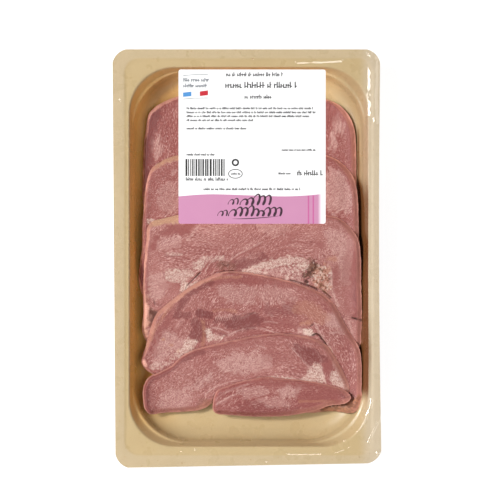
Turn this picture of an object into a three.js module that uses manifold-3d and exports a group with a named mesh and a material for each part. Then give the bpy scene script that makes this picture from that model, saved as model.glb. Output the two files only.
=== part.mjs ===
// Sealed tray of sliced cooked pork tongue: a thermoformed tray with a flange, six slices of
// tongue that overlap like shingles, a clear lid film over the flange and a label on the film.
// Millimetres, +Z up. The tray stands on Z = 0, and the origin is under the middle of its outline.
// The lowest slice lies at the +Y end, and each next one lies on it and further towards -Y.

import * as THREE from "three";
import Module from "manifold-3d";

const wasm = await Module();
wasm.setup();

// Driving dimensions of the tray
const TRAY_WIDTH = 166;
const TRAY_LENGTH = 259;
const TRAY_HEIGHT = 18;
const SHEET_THICKNESS = 0.9;
const CORNER_CUT = 8.2; // what the corner knife takes off each side
const CORNER_CUT_FLATNESS = 2.5; // how far the knife's arc is centred beyond a true fillet's
const CORNER_STEPS = 12;

// The cavity sits a little off the middle of the outline, as the sheet was cut to size after forming
const CAVITY_X = 1.3;
const CAVITY_Y = 0.6;
const MOUTH_HALF_WIDTH = 74.7;
const MOUTH_HALF_LENGTH = 118.4;
const MOUTH_CORNER = 28;
const SEAL_INNER_CORNER = 9;
const SEAL_TO_MOUTH_X = 2.5;
const SEAL_TO_MOUTH_Y = 4.8;
const SEAL_STEP = 1; // the ledge inside the seal lies this much lower
const RIM_ROUNDING = 0.7;
const UPPER_WALL_DEPTH = 4.3;
const UPPER_WALL_DRAFT = 0.7;
const STACKING_STEP = 0.7;
const LOWER_WALL_DRAFT = 0.9;
const LOWER_CORNER = 34; // under the stacking step, so that each corner has a crescent ledge
const FLOOR_FILLET = 7.5;
const FLOOR_CORNER = 38;
const FILLET_STEPS = 4;

// Film and label
const CLEARANCE = 0.3;
const FILM_THICKNESS = 0.3;
const LABEL_WIDTH = 91.3;
const LABEL_LENGTH = 95.7;
const LABEL_THICKNESS = 0.3;
const LABEL_CORNER = 1.4;
const LABEL_X = 3.4;
const LABEL_Y = 69;

// How the slices lie on each other
const CELL = 6.5;
const FIELD_MIN_X = -78;
const FIELD_MIN_Y = -104;
const FIELD_COLUMNS = 25;
const FIELD_ROWS = 34;
const DRAPE_HOLD = 9.3; // past a slice's edge the next one keeps its height for one cell's diagonal
const DRAPE_FALL = 24; // and comes down over this distance
const CRADLE_START = 4.7; // a slice bends up towards the wall from this far inside the flat floor
const CRADLE_RADIUS = 18; // at this radius
const CRADLE_REACH = 12.2; // and goes straight on from here
const RELIEF = 0.2;
const EDGE_WAVER = 0.3;

// Each slice as [x, y, width of the skin's sloping edge], anticlockwise round the face that lies
// down. Where the next slice covers it, the shape carries on as on a slice that shows.
const SLICES = [
  {
    name: "slice_1",
    thickness: 3.8,
    edgeSamples: 62,
    outline: [
      [-42.6, 102, 1.8], [-50.7, 99, 2], [-56.9, 95.5, 2.2], [-61.9, 90, 1.8], [-63.7, 80.6, 1.4],
      [-65, 68, 1], [-65.6, 51, 1], [-65.5, 35, 1], [-63, 20, 1], [-50, 12, 1], [-10, 14, 1],
      [35, 11, 1], [60, 15, 1], [68, 32, 1], [69.2, 54.5, 0.9], [68.9, 70, 0.9], [68, 81, 0.9],
      [64.2, 90, 0.9], [58, 96.5, 0.9], [49.3, 100.2, 0.9], [33, 102.5, 1], [0, 105, 1.4],
      [-26, 104.7, 1.6],
    ],
  },
  {
    name: "slice_2",
    thickness: 3.8,
    edgeSamples: 64,
    outline: [
      [-42.6, 64.8, 3], [-50.7, 62.3, 3], [-55.7, 59.5, 3], [-60, 56, 2.4], [-62.5, 50, 1.6],
      [-63.9, 42, 1.2], [-65, 29.5, 1], [-65.6, 17, 1], [-65.7, 6.5, 1], [-67.4, -5, 1.2],
      [-67.7, -17, 1.2], [-64, -25, 1.2], [-45, -27, 1], [0, -23, 1], [45, -27, 1], [64, -20, 1],
      [70, 0, 1], [70.4, 20, 0.9], [70.1, 33, 0.9], [69.4, 42, 0.9], [67.3, 50, 0.9],
      [64.2, 55.2, 0.9], [58, 61, 0.9], [51.8, 64, 0.9], [33, 66.7, 1.2], [2, 68.8, 1.6],
      [-26, 67.8, 2.6],
    ],
  },
  {
    name: "slice_3",
    thickness: 3.9,
    edgeSamples: 70,
    outline: [
      [-42.6, 27, 4.2], [-50.7, 25, 4], [-58.8, 23, 3.6], [-61.9, 19.8, 2.6], [-62.8, 11, 2],
      [-63.7, 3.6, 1.6], [-64.6, -7.6, 1.4], [-65.3, -20, 1.4], [-65, -34, 2], [-65.6, -47, 2.4],
      [-61, -55, 2], [-45, -57.5, 1.2], [-10, -55, 1.2], [40, -58, 1.2], [64, -60, 1],
      [71, -56.5, 0.8], [72.2, -47, 0.8], [72.2, -29, 0.8], [71.8, -14, 0.8], [71.4, 2, 0.8],
      [69.5, 12.3, 0.8], [64.2, 19.8, 0.8], [58, 24.6, 0.8], [49.3, 26.8, 0.8], [33, 28.5, 1.2],
      [2, 30.3, 1.8], [-26, 29.4, 3.2],
    ],
  },
  {
    name: "slice_4",
    thickness: 3.9,
    edgeSamples: 80,
    outline: [
      [-28.9, -14.4, 2.2], [-41.4, -22.2, 2.4], [-48.8, -28, 2.4], [-56.5, -35.2, 2.4],
      [-59.6, -42, 2.4], [-62, -50, 2.4], [-63.6, -56, 2.4], [-66.2, -65, 1.4], [-64.5, -69.4, 1.2],
      [-56, -75.5, 1], [-38, -86, 1], [-8, -93.5, 1], [20, -97, 1.2], [40, -98, 2],
      [54.9, -97, 3], [66.5, -97.3, 3], [69.9, -94.4, 2], [71.7, -90, 1.2], [72.2, -82, 0.8],
      [72.2, -70, 0.8], [71.9, -63, 0.8], [70.4, -56, 0.8], [66.9, -50, 0.9], [61.5, -40.8, 0.9],
      [55.3, -29.7, 1], [51.5, -25.4, 1.1], [45.5, -21.5, 1.1], [38, -18.3, 1], [27, -14.6, 0.9],
      [14.5, -11.7, 0.9], [2, -9.4, 1], [-7.2, -8.5, 1.2], [-16.5, -9.1, 1.6],
    ],
  },
  {
    name: "slice_5",
    thickness: 3.7,
    edgeSamples: 72,
    outline: [
      [-28.9, -56.3, 1], [-35.2, -58.5, 0.9], [-41.4, -62.2, 0.8], [-47.6, -67.8, 0.8],
      [-53.8, -71.2, 0.8], [-60, -74, 0.8], [-63.2, -77.2, 0.8], [-65, -82.5, 0.8],
      [-65, -88, 0.8], [-63.8, -94.5, 0.8], [-60.5, -98, 0.8], [-53, -97.6, 1], [-38.3, -96.8, 1],
      [-30.8, -96, 1], [-25.8, -94.4, 1.2], [-21, -91.4, 1.2], [-12, -92, 1], [8, -94, 1],
      [33, -94, 1], [54.5, -90.4, 1], [64, -85.5, 1], [64, -79, 1.4], [61.4, -73, 1.8],
      [56.6, -64, 1.8], [50.4, -55, 1.6], [43, -50.8, 1.4], [33.2, -48.5, 1.2], [22, -47.2, 1],
      [8.3, -48.3, 1], [-7.2, -51.3, 1.1],
    ],
  },
  {
    name: "slice_6",
    thickness: 3.4,
    edgeSamples: 58,
    outline: [
      [-21.2, -92, 0.8], [-20.2, -97, 0.8], [-10.3, -98.6, 0.8], [8.3, -99.7, 0.8],
      [27, -98.9, 0.8], [36, -97.3, 0.8], [44.4, -95.4, 0.8], [51.8, -92.8, 0.8], [62.5, -90.8, 0.8],
      [65.2, -87, 0.8], [62, -83.2, 0.8], [51.8, -79.6, 0.8], [38, -76.8, 0.8], [22.6, -75.4, 1],
      [11.4, -74.4, 1.2], [2.7, -75.8, 1], [-11.6, -80, 0.8], [-18.5, -83.2, 0.8],
    ],
  },
];

const trayPlastic = new THREE.MeshStandardMaterial({ color: 0xd2b98c, roughness: 0.35, metalness: 0 });
const tongueMeat = new THREE.MeshStandardMaterial({ color: 0xb87a76, roughness: 0.5, metalness: 0 });
const clearFilm = new THREE.MeshStandardMaterial({
  color: 0xffffff,
  roughness: 0.08,
  metalness: 0,
  transparent: true,
  opacity: 0.15,
});
const labelPaper = new THREE.MeshStandardMaterial({ color: 0xfbfbfb, roughness: 0.55, metalness: 0 });

// A closed body of plain indexed triangles, as a geometry and as a manifold solid
function geometryOf(positions, indices) {
  return new THREE.BufferGeometry()
    .setAttribute("position", new THREE.BufferAttribute(new Float32Array(positions), 3))
    .setIndex(indices);
}

function solidOf(positions, indices) {
  return new wasm.Manifold(
    new wasm.Mesh({
      numProp: 3,
      vertProperties: new Float32Array(positions),
      triVerts: new Uint32Array(indices),
    }),
  );
}

function geometryOfSolid(solid) {
  const mesh = solid.getMesh();
  return geometryOf(mesh.vertProperties, Array.from(mesh.triVerts));
}

function namedMesh(name, geometry, material) {
  const mesh = new THREE.Mesh(geometry, material);
  mesh.name = name;
  geometry.computeVertexNormals();
  return mesh;
}

// The tray

// One level of the tray: a rectangle with rounded corners, anticlockwise seen from above.
// cut above 0 centres each corner's arc further in, so that it meets the sides at an angle.
function ring({ x = 0, y = 0, halfWidth, halfLength, corner, cut = 0, z }) {
  const reach = corner + cut;
  const radius = Math.hypot(reach, cut);
  const start = Math.atan2(cut, reach);
  const points = [];
  for (let quarter = 0; quarter < 4; quarter++) {
    const signX = quarter === 0 || quarter === 3 ? 1 : -1;
    const signY = quarter < 2 ? 1 : -1;
    for (let step = 0; step <= CORNER_STEPS; step++) {
      const share = quarter % 2 ? 1 - step / CORNER_STEPS : step / CORNER_STEPS;
      const angle = start + share * (Math.PI / 2 - 2 * start);
      points.push(
        new THREE.Vector3(
          x + signX * (halfWidth - reach + radius * Math.cos(angle)),
          y + signY * (halfLength - reach + radius * Math.sin(angle)),
          z,
        ),
      );
    }
  }
  return points;
}

// The tray's upper surface as levels, from the flange's edge in to the floor
function trayLevels() {
  const cavity = (inset, z, corner = MOUTH_CORNER) => ({
    x: CAVITY_X,
    y: CAVITY_Y,
    halfWidth: MOUTH_HALF_WIDTH - inset,
    halfLength: MOUTH_HALF_LENGTH - inset,
    corner,
    z,
  });
  const sealInner = (inset, z) => ({
    ...cavity(inset, z, SEAL_INNER_CORNER),
    halfWidth: MOUTH_HALF_WIDTH + SEAL_TO_MOUTH_X - inset,
    halfLength: MOUTH_HALF_LENGTH + SEAL_TO_MOUTH_Y - inset,
  });
  const ledge = TRAY_HEIGHT - SEAL_STEP;
  const upperWallFoot = RIM_ROUNDING + UPPER_WALL_DRAFT;
  const stepFoot = upperWallFoot + STACKING_STEP;
  const lowerWallFoot = stepFoot + LOWER_WALL_DRAFT;
  const levels = [
    outerEdge(TRAY_HEIGHT),
    sealInner(0, TRAY_HEIGHT),
    sealInner(RIM_ROUNDING, ledge),
    cavity(0, ledge),
    cavity(RIM_ROUNDING, ledge - RIM_ROUNDING),
    cavity(upperWallFoot, ledge - RIM_ROUNDING - UPPER_WALL_DEPTH),
    cavity(stepFoot, ledge - RIM_ROUNDING - UPPER_WALL_DEPTH - STACKING_STEP, LOWER_CORNER),
  ];
  for (let step = 0; step <= FILLET_STEPS; step++) {
    const angle = (step / FILLET_STEPS) * (Math.PI / 2);
    const across = 1 - Math.cos(angle);
    levels.push(
      cavity(
        lowerWallFoot + FLOOR_FILLET * across,
        SHEET_THICKNESS + FLOOR_FILLET * (1 - Math.sin(angle)),
        THREE.MathUtils.lerp(LOWER_CORNER, FLOOR_CORNER, across),
      ),
    );
  }
  return levels;
}

function outerEdge(z) {
  return {
    halfWidth: TRAY_WIDTH / 2,
    halfLength: TRAY_LENGTH / 2,
    corner: CORNER_CUT,
    cut: CORNER_CUT_FLATNESS,
    z,
  };
}

// The same levels moved by the sheet's thickness to the side that faces down and out
function underside(levels) {
  const slopes = levels.slice(1).map((next, i) => {
    const run = levels[i].halfWidth - next.halfWidth;
    const drop = next.z - levels[i].z;
    const length = Math.hypot(run, drop);
    return new THREE.Vector2(drop / length, -run / length);
  });
  slopes.push(new THREE.Vector2(0, -1));
  return levels.map((level, i) => {
    const before = slopes[Math.max(i - 1, 0)];
    const mitre = before.clone().add(slopes[i]).normalize();
    const offset = SHEET_THICKNESS / mitre.dot(slopes[i]);
    return {
      ...level,
      halfWidth: level.halfWidth - mitre.x * offset,
      halfLength: level.halfLength - mitre.x * offset,
      corner: level.corner - mitre.x * offset,
      z: level.z + mitre.y * offset,
    };
  });
}

// Closes a run of rings into one body, from a point under the floor, out round the flange's
// edge and back in to a point on the floor.
function loft(rings, first, last) {
  const count = rings[0].length;
  const points = [first, ...rings.flat(), last];
  const at = (row, i) => 1 + row * count + (i % count);
  const indices = [];
  for (let i = 0; i < count; i++) {
    indices.push(0, at(0, i + 1), at(0, i));
    for (let row = 0; row + 1 < rings.length; row++) {
      indices.push(at(row, i), at(row + 1, i + 1), at(row + 1, i));
      indices.push(at(row, i), at(row, i + 1), at(row + 1, i + 1));
    }
    indices.push(points.length - 1, at(rings.length - 1, i), at(rings.length - 1, i + 1));
  }
  return geometryOf(points.flatMap((p) => p.toArray()), indices);
}

function trayGeometry() {
  const above = trayLevels();
  const below = underside(above).reverse();
  return loft(
    [...below, ...above].map(ring),
    new THREE.Vector3(CAVITY_X, CAVITY_Y, 0),
    new THREE.Vector3(CAVITY_X, CAVITY_Y, SHEET_THICKNESS),
  );
}

// The slices

// A height above Z = 0 at each corner of a square grid, and between them on flat triangles
class Field {
  constructor(height) {
    this.values = [];
    for (let row = 0; row < FIELD_ROWS; row++)
      for (let column = 0; column < FIELD_COLUMNS; column++)
        this.values.push(height(Field.x(column), Field.y(row), row * FIELD_COLUMNS + column));
  }
  static x(column) {
    return FIELD_MIN_X + column * CELL;
  }
  static y(row) {
    return FIELD_MIN_Y + row * CELL;
  }
  node(column, row) {
    return this.values[row * FIELD_COLUMNS + column];
  }
  at(x, y) {
    const column = Math.floor((x - FIELD_MIN_X) / CELL);
    const row = Math.floor((y - FIELD_MIN_Y) / CELL);
    const u = (x - Field.x(column)) / CELL;
    const v = (y - Field.y(row)) / CELL;
    const low = this.node(column, row);
    const high = this.node(column + 1, row + 1);
    const side = u > v ? this.node(column + 1, row) : this.node(column, row + 1);
    const far = Math.max(u, v);
    const near = Math.min(u, v);
    return low * (1 - far) + side * (far - near) + high * near;
  }
}

// What the slices lie on: the tray's flat floor, and the soft bend in which they rise towards its
// walls, over the floor's fillet
function cradle() {
  const floor = trayLevels().at(-1);
  return new Field((x, y) => {
    const inX = Math.abs(x - floor.x) - (floor.halfWidth - floor.corner);
    const inY = Math.abs(y - floor.y) - (floor.halfLength - floor.corner);
    const past =
      Math.hypot(Math.max(inX, 0), Math.max(inY, 0)) + Math.min(Math.max(inX, inY), 0) - floor.corner;
    const reach = THREE.MathUtils.clamp(past + CRADLE_START, 0, CRADLE_REACH);
    const height = Math.sqrt(CRADLE_RADIUS ** 2 - reach ** 2);
    const beyond = Math.max(past + CRADLE_START - CRADLE_REACH, 0);
    return SHEET_THICKNESS + CRADLE_RADIUS - height + (beyond * reach) / height;
  });
}

// The two edges of a slice, {low, high}: round the face that lies down and round the face that
// shows. The third number of each outline point carries the distance between them.
function edgesOf({ outline, edgeSamples }, seed) {
  const curve = new THREE.CatmullRomCurve3(
    outline.map(([x, y, slope]) => new THREE.Vector3(x, y, slope)),
    true,
  );
  const points = curve.getSpacedPoints(edgeSamples).slice(0, -1);
  const low = [];
  const high = [];
  points.forEach((point, i) => {
    const before = points[(i + points.length - 1) % points.length];
    const after = points[(i + 1) % points.length];
    const inward = new THREE.Vector2(before.y - after.y, after.x - before.x).normalize();
    const waver = EDGE_WAVER * Math.sin(i * 1.9 + seed) * Math.sin(i * 0.7 + 2 * seed);
    low.push(new THREE.Vector2(point.x, point.y).addScaledVector(inward, waver));
    high.push(new THREE.Vector2(point.x, point.y).addScaledVector(inward, waver + point.z));
  });
  return { low, high };
}

// How far (x, y) is outside a closed edge, and 0 inside it
function distancePast(edge, x, y) {
  let nearest = Infinity;
  let inside = false;
  edge.forEach((a, i) => {
    const b = edge[(i + 1) % edge.length];
    const along = ((x - a.x) * (b.x - a.x) + (y - a.y) * (b.y - a.y)) / a.distanceToSquared(b);
    const share = THREE.MathUtils.clamp(along, 0, 1);
    nearest = Math.min(
      nearest,
      Math.hypot(x - a.x - share * (b.x - a.x), y - a.y - share * (b.y - a.y)),
    );
    if (a.y > y !== b.y > y && x < a.x + ((y - a.y) * (b.x - a.x)) / (b.y - a.y)) inside = !inside;
  });
  return inside ? 0 : nearest;
}

// The layer of tongue between two height fields, over the cells that the edge reaches
function layer(bottom, top, edge) {
  const box = new THREE.Box2().setFromPoints(edge);
  const firstColumn = Math.floor((box.min.x - FIELD_MIN_X) / CELL);
  const firstRow = Math.floor((box.min.y - FIELD_MIN_Y) / CELL);
  const columns = Math.ceil((box.max.x - FIELD_MIN_X) / CELL) - firstColumn;
  const rows = Math.ceil((box.max.y - FIELD_MIN_Y) / CELL) - firstRow;
  const positions = [];
  for (const field of [bottom, top])
    for (let row = 0; row <= rows; row++)
      for (let column = 0; column <= columns; column++)
        positions.push(
          Field.x(firstColumn + column),
          Field.y(firstRow + row),
          field.node(firstColumn + column, firstRow + row),
        );
  const lower = (column, row) => row * (columns + 1) + column;
  const upper = (column, row) => (rows + 1) * (columns + 1) + lower(column, row);
  const indices = [];
  for (let row = 0; row < rows; row++)
    for (let column = 0; column < columns; column++)
      for (const [node, turn] of [[upper, 1], [lower, -1]]) {
        const a = node(column, row);
        const b = node(column + 1, row);
        const c = node(column + 1, row + 1);
        const d = node(column, row + 1);
        indices.push(...(turn > 0 ? [a, b, c, a, c, d] : [a, c, b, a, d, c]));
      }
  const wall = (from, to) => {
    indices.push(lower(...from), lower(...to), upper(...to));
    indices.push(lower(...from), upper(...to), upper(...from));
  };
  for (let column = 0; column < columns; column++) {
    wall([column, 0], [column + 1, 0]);
    wall([column + 1, rows], [column, rows]);
  }
  for (let row = 0; row < rows; row++) {
    wall([columns, row], [columns, row + 1]);
    wall([0, row + 1], [0, row]);
  }
  return solidOf(positions, indices);
}

// A cutter with a slice's outline: upright below and above the slice, and sloping in between
function outlineCutter({ low, high }, bottom, top) {
  const margin = 0.05;
  const reach = 3 * TRAY_HEIGHT;
  const bands = [
    low.map((p) => [p.x, p.y, -reach]),
    low.map((p) => [p.x, p.y, bottom.at(p.x, p.y) - margin]),
    high.map((p) => [p.x, p.y, top.at(p.x, p.y) + margin]),
    high.map((p) => [p.x, p.y, reach]),
  ];
  const count = low.length;
  const indices = [];
  for (let band = 0; band + 1 < bands.length; band++)
    for (let i = 0; i < count; i++) {
      const a = band * count + i;
      const b = band * count + ((i + 1) % count);
      indices.push(a, b, b + count, a, b + count, a + count);
    }
  for (const [a, b, c] of THREE.ShapeUtils.triangulateShape(low, [])) indices.push(a, c, b);
  const lid = (bands.length - 1) * count;
  for (const [a, b, c] of THREE.ShapeUtils.triangulateShape(high, []))
    indices.push(lid + a, lid + b, lid + c);
  return solidOf(bands.flat(2), indices);
}

function sliceMeshes() {
  let support = cradle();
  return SLICES.map((slice, number) => {
    const edges = edgesOf(slice, number);
    const bottom = new Field((x, y, i) => support.values[i] + CLEARANCE);
    const top = new Field(
      (x, y, i) =>
        bottom.values[i] +
        slice.thickness +
        RELIEF * Math.sin(0.21 * x + number) * Math.cos(0.17 * y - 2 * number),
    );
    const solid = layer(bottom, top, edges.low).intersect(outlineCutter(edges, bottom, top));
    const below = support;
    support = new Field((x, y, i) => {
      const past = distancePast(edges.low, x, y);
      const cover = 1 - THREE.MathUtils.smoothstep(past, DRAPE_HOLD, DRAPE_HOLD + DRAPE_FALL);
      return THREE.MathUtils.lerp(below.values[i], top.values[i], cover);
    });
    return namedMesh(slice.name, geometryOfSolid(solid), tongueMeat);
  });
}

// The film and the label

function filmMesh() {
  const outline = new THREE.Shape(ring(outerEdge(0)).map((p) => new THREE.Vector2(p.x, p.y)));
  const geometry = new THREE.ExtrudeGeometry(outline, { depth: FILM_THICKNESS, bevelEnabled: false });
  const film = namedMesh("lid_film", geometry, clearFilm);
  film.position.z = TRAY_HEIGHT + CLEARANCE;
  return film;
}

function labelMesh() {
  const outline = new THREE.Shape(
    ring({
      halfWidth: LABEL_WIDTH / 2,
      halfLength: LABEL_LENGTH / 2,
      corner: LABEL_CORNER,
      z: 0,
    }).map((p) => new THREE.Vector2(p.x, p.y)),
  );
  const geometry = new THREE.ExtrudeGeometry(outline, { depth: LABEL_THICKNESS, bevelEnabled: false });
  const label = namedMesh("label", geometry, labelPaper);
  label.position.set(LABEL_X, LABEL_Y, TRAY_HEIGHT + 2 * CLEARANCE + FILM_THICKNESS);
  return label;
}

const pack = new THREE.Group();
pack.name = "sliced_tongue_pack";
pack.add(namedMesh("tray", trayGeometry(), trayPlastic));
pack.add(...sliceMeshes());
pack.add(filmMesh());
pack.add(labelMesh());

export default pack;
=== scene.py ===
"""Looks of a sealed tray of sliced cooked pork tongue.

Places are in millimetres until a mesh is made, in the frame of the solids: +X across the tray,
+Y towards the label, +Z up, and the tray stands on Z = 0.
"""

import math

import bpy
import numpy as np
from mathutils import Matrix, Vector
from mathutils.geometry import delaunay_2d_cdt


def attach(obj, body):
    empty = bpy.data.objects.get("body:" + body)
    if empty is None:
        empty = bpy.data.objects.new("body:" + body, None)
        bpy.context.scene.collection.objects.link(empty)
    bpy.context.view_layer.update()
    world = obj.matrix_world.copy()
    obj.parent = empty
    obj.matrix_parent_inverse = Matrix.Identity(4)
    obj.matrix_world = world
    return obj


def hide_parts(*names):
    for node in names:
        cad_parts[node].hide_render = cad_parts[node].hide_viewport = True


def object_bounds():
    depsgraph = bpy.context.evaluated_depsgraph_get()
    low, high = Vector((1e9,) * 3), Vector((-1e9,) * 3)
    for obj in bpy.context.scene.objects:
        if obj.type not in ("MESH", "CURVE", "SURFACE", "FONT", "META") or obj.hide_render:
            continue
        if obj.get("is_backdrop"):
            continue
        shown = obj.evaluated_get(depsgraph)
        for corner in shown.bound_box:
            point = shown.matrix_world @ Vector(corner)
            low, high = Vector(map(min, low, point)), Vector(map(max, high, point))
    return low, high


MM = 0.001
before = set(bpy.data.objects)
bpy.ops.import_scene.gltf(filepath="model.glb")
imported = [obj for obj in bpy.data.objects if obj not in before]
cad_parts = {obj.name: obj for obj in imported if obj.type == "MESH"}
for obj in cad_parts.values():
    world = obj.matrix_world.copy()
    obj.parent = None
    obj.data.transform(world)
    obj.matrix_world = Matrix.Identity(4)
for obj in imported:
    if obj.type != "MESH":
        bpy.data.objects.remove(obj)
cad_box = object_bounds()


# Tray, as in the solids but for what the photograph shows otherwise: a shallower step at the seal,
# a more sloping upper wall, a narrower stacking step and rounder lower corners
TRAY_WIDTH, TRAY_LENGTH, TRAY_HEIGHT = 166, 259, 18
SHEET, EDGE_LIP = 0.9, 0.15
CORNER_CUT, CORNER_CUT_FLATNESS = 8.2, 2.5
OUTER_EDGE = (0, 0, TRAY_WIDTH / 2, TRAY_LENGTH / 2, CORNER_CUT, CORNER_CUT_FLATNESS, TRAY_HEIGHT)
CAVITY_X, CAVITY_Y = 1.3, 0.6
MOUTH_HALF_WIDTH, MOUTH_HALF_LENGTH, MOUTH_CORNER = 74.7, 118.4, 28
SEAL_TO_MOUTH_X, SEAL_TO_MOUTH_Y, SEAL_INNER_CORNER = 2.5, 4.8, 9
SEAL_STEP = 0.45
RIM_ROUNDING = 0.7
UPPER_WALL_DEPTH, UPPER_WALL_DRAFT = 4.85, 1.4
STACKING_STEP, LOWER_WALL_DRAFT = 0.25, 1.05
UPPER_CORNER, LOWER_CORNER = 32, 36
FLOOR_FILLET, FLOOR_CORNER = 7.1, 41

# Slices
CLING = 0.06  # between a slice and what it lies on
DRAPE_HOLD, DRAPE_FALL = 9.3, 24.0  # past a slice's edge, what lies on it stays up, then falls

# The bend that the slices follow from the tray's floor up: where it starts inside the flat
# floor's edge, its radius, and how far out it is round before it goes on straight
CRADLE_START, CRADLE_RADIUS, CRADLE_REACH = 4.7, 18.0, 12.2

FINE, UNDER_LABEL, HIDDEN = 0.38, 0.8, 3.0  # distances between a slice's points
EDGE_STEP = 0.8
FIBRE_STEP, FIBRE_MARGIN = 0.4, 4  # the grid that fibres are smeared on, and its margin
FIBRE_GRAIN = 0.5  # how thick a fibre is
FAR_BESIDE = -99.0  # how far under the next slices a place counts that none of them comes near
OVERLAP, UNDER_LABEL_MARGIN = 2.5, 2  # how far under a slice or the label a place is unseen
LIGHT_WAY = (-0.92, 0.39)  # towards the key light

# The least width of a slice's sloping edge, and what is added where it faces away from the light
EDGE_SLOPE, SHADED_SLOPE = 1.8, 1.7

# A slice's side from the face that lies down up to the rim, as shares of slope and thickness
SIDE_PROFILE = [(0, 0.03), (0.08, 0.1), (0.28, 0.3), (0.55, 0.58), (0.8, 0.84), (1.0, 1.0)]

# The seed of each kind of noise on a slice, to which the slice's number is added
LONG_FIBRES, SHORT_FIBRES, WHERE_LONG, TONE, RIM, CREVICE = 100, 200, 300, 400, 500, 550
RAGGED, RELIEF, SIDE, SKIN_EDGE, WORN_SKIN = 600, 700, 800, 900, 950

# Each slice as (x, y, width of the skin's sloping edge), anticlockwise, as in the solids
OUTLINES = {
    "slice_1": [
        (-42.6, 102, 1.8), (-50.7, 99, 2), (-56.9, 95.5, 2.2), (-61.9, 90, 1.8), (-63.7, 80.6, 1.4),
        (-65, 68, 1), (-65.6, 51, 1), (-65.5, 35, 1), (-63, 20, 1), (-50, 12, 1), (-10, 14, 1),
        (35, 11, 1), (60, 15, 1), (68, 32, 1), (69.2, 54.5, 0.9), (68.9, 70, 0.9), (68, 81, 0.9),
        (64.2, 90, 0.9), (58, 96.5, 0.9), (49.3, 100.2, 0.9), (33, 102.5, 1), (0, 105, 1.4),
        (-26, 104.7, 1.6),
    ],
    "slice_2": [
        (-42.6, 64.8, 3), (-50.7, 62.3, 3), (-55.7, 59.5, 3), (-60, 56, 2.4), (-62.5, 50, 1.6),
        (-63.9, 42, 1.2), (-65, 29.5, 1), (-65.6, 17, 1), (-65.7, 6.5, 1), (-67.4, -5, 1.2),
        (-67.7, -17, 1.2), (-64, -25, 1.2), (-45, -27, 1), (0, -23, 1), (45, -27, 1), (64, -20, 1),
        (70, 0, 1), (70.4, 20, 0.9), (70.1, 33, 0.9), (69.4, 42, 0.9), (67.3, 50, 0.9),
        (64.2, 55.2, 0.9), (58, 61, 0.9), (51.8, 64, 0.9), (33, 66.7, 1.2), (2, 68.8, 1.6),
        (-26, 67.8, 2.6),
    ],
    "slice_3": [
        (-42.6, 27, 4.2), (-50.7, 25, 4), (-58.8, 23, 3.6), (-61.9, 19.8, 2.6), (-62.8, 11, 2),
        (-63.7, 3.6, 1.6), (-64.6, -7.6, 1.4), (-65.3, -20, 1.4), (-65, -34, 2), (-65.6, -47, 2.4),
        (-61, -55, 2), (-45, -57.5, 1.2), (-10, -55, 1.2), (40, -58, 1.2), (64, -60, 1),
        (71, -56.5, 0.8), (72.2, -47, 0.8), (72.2, -29, 0.8), (71.8, -14, 0.8), (71.4, 2, 0.8),
        (69.5, 12.3, 0.8), (64.2, 19.8, 0.8), (58, 24.6, 0.8), (49.3, 26.8, 0.8), (33, 28.5, 1.2),
        (2, 30.3, 1.8), (-26, 29.4, 3.2),
    ],
    "slice_4": [
        (-28.9, -14.4, 2.2), (-41.4, -22.2, 2.4), (-48.8, -28, 2.4), (-56.5, -35.2, 2.4),
        (-59.6, -42, 2.4), (-62, -50, 2.4), (-63.6, -56, 2.4), (-66.2, -65, 1.4),
        (-64.5, -69.4, 1.2), (-56, -75.5, 1), (-38, -86, 1), (-8, -93.5, 1), (20, -97, 1.2),
        (40, -98, 2), (54.9, -97, 3), (66.5, -97.3, 3), (69.9, -94.4, 2), (71.7, -90, 1.2),
        (72.2, -82, 0.8), (72.2, -70, 0.8), (71.9, -63, 0.8), (70.4, -56, 0.8), (66.9, -50, 0.9),
        (61.5, -40.8, 0.9), (55.3, -29.7, 1), (51.5, -25.4, 1.1), (45.5, -21.5, 1.1),
        (38, -18.3, 1), (27, -14.6, 0.9), (14.5, -11.7, 0.9), (2, -9.4, 1), (-7.2, -8.5, 1.2),
        (-16.5, -9.1, 1.6),
    ],
    "slice_5": [
        (-28.9, -56.3, 1), (-35.2, -58.5, 0.9), (-41.4, -62.2, 0.8), (-47.6, -67.8, 0.8),
        (-53.8, -71.2, 0.8), (-60, -74, 0.8), (-63.2, -77.2, 0.8), (-65, -82.5, 0.8),
        (-65, -88, 0.8), (-63.8, -94.5, 0.8), (-60.5, -98, 0.8), (-53, -97.6, 1),
        (-38.3, -96.8, 1), (-30.8, -96, 1), (-25.8, -94.4, 1.2), (-21, -91.4, 1.2), (-12, -92, 1),
        (8, -94, 1), (33, -94, 1), (54.5, -90.4, 1), (64, -85.5, 1), (64, -79, 1.4),
        (61.4, -73, 1.8), (56.6, -64, 1.8), (50.4, -55, 1.6), (43, -50.8, 1.4), (33.2, -48.5, 1.2),
        (22, -47.2, 1), (8.3, -48.3, 1), (-7.2, -51.3, 1.1),
    ],
    "slice_6": [
        (-21.2, -92, 0.8), (-20.2, -97, 0.8), (-10.3, -98.6, 0.8), (8.3, -99.7, 0.8),
        (27, -98.9, 0.8), (36, -97.3, 0.8), (44.4, -95.4, 0.8), (51.8, -92.8, 0.8),
        (62.5, -90.8, 0.8), (65.2, -87, 0.8), (62, -83.2, 0.8), (51.8, -79.6, 0.8),
        (38, -76.8, 0.8), (22.6, -75.4, 1), (11.4, -74.4, 1.2), (2.7, -75.8, 1), (-11.6, -80, 0.8),
        (-18.5, -83.2, 0.8),
    ],
}

# Each slice's thickness, with 0.2 mm more than the solids have, as it touches what it lies on
THICKNESS = {
    "slice_1": 4.0, "slice_2": 4.0, "slice_3": 4.1, "slice_4": 4.1, "slice_5": 3.9, "slice_6": 3.6,
}

THIN_SKIN = {"slice_4": 0.9, "slice_5": 0.6, "slice_6": 0.5}  # how much of a thin edge's skin shows

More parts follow.
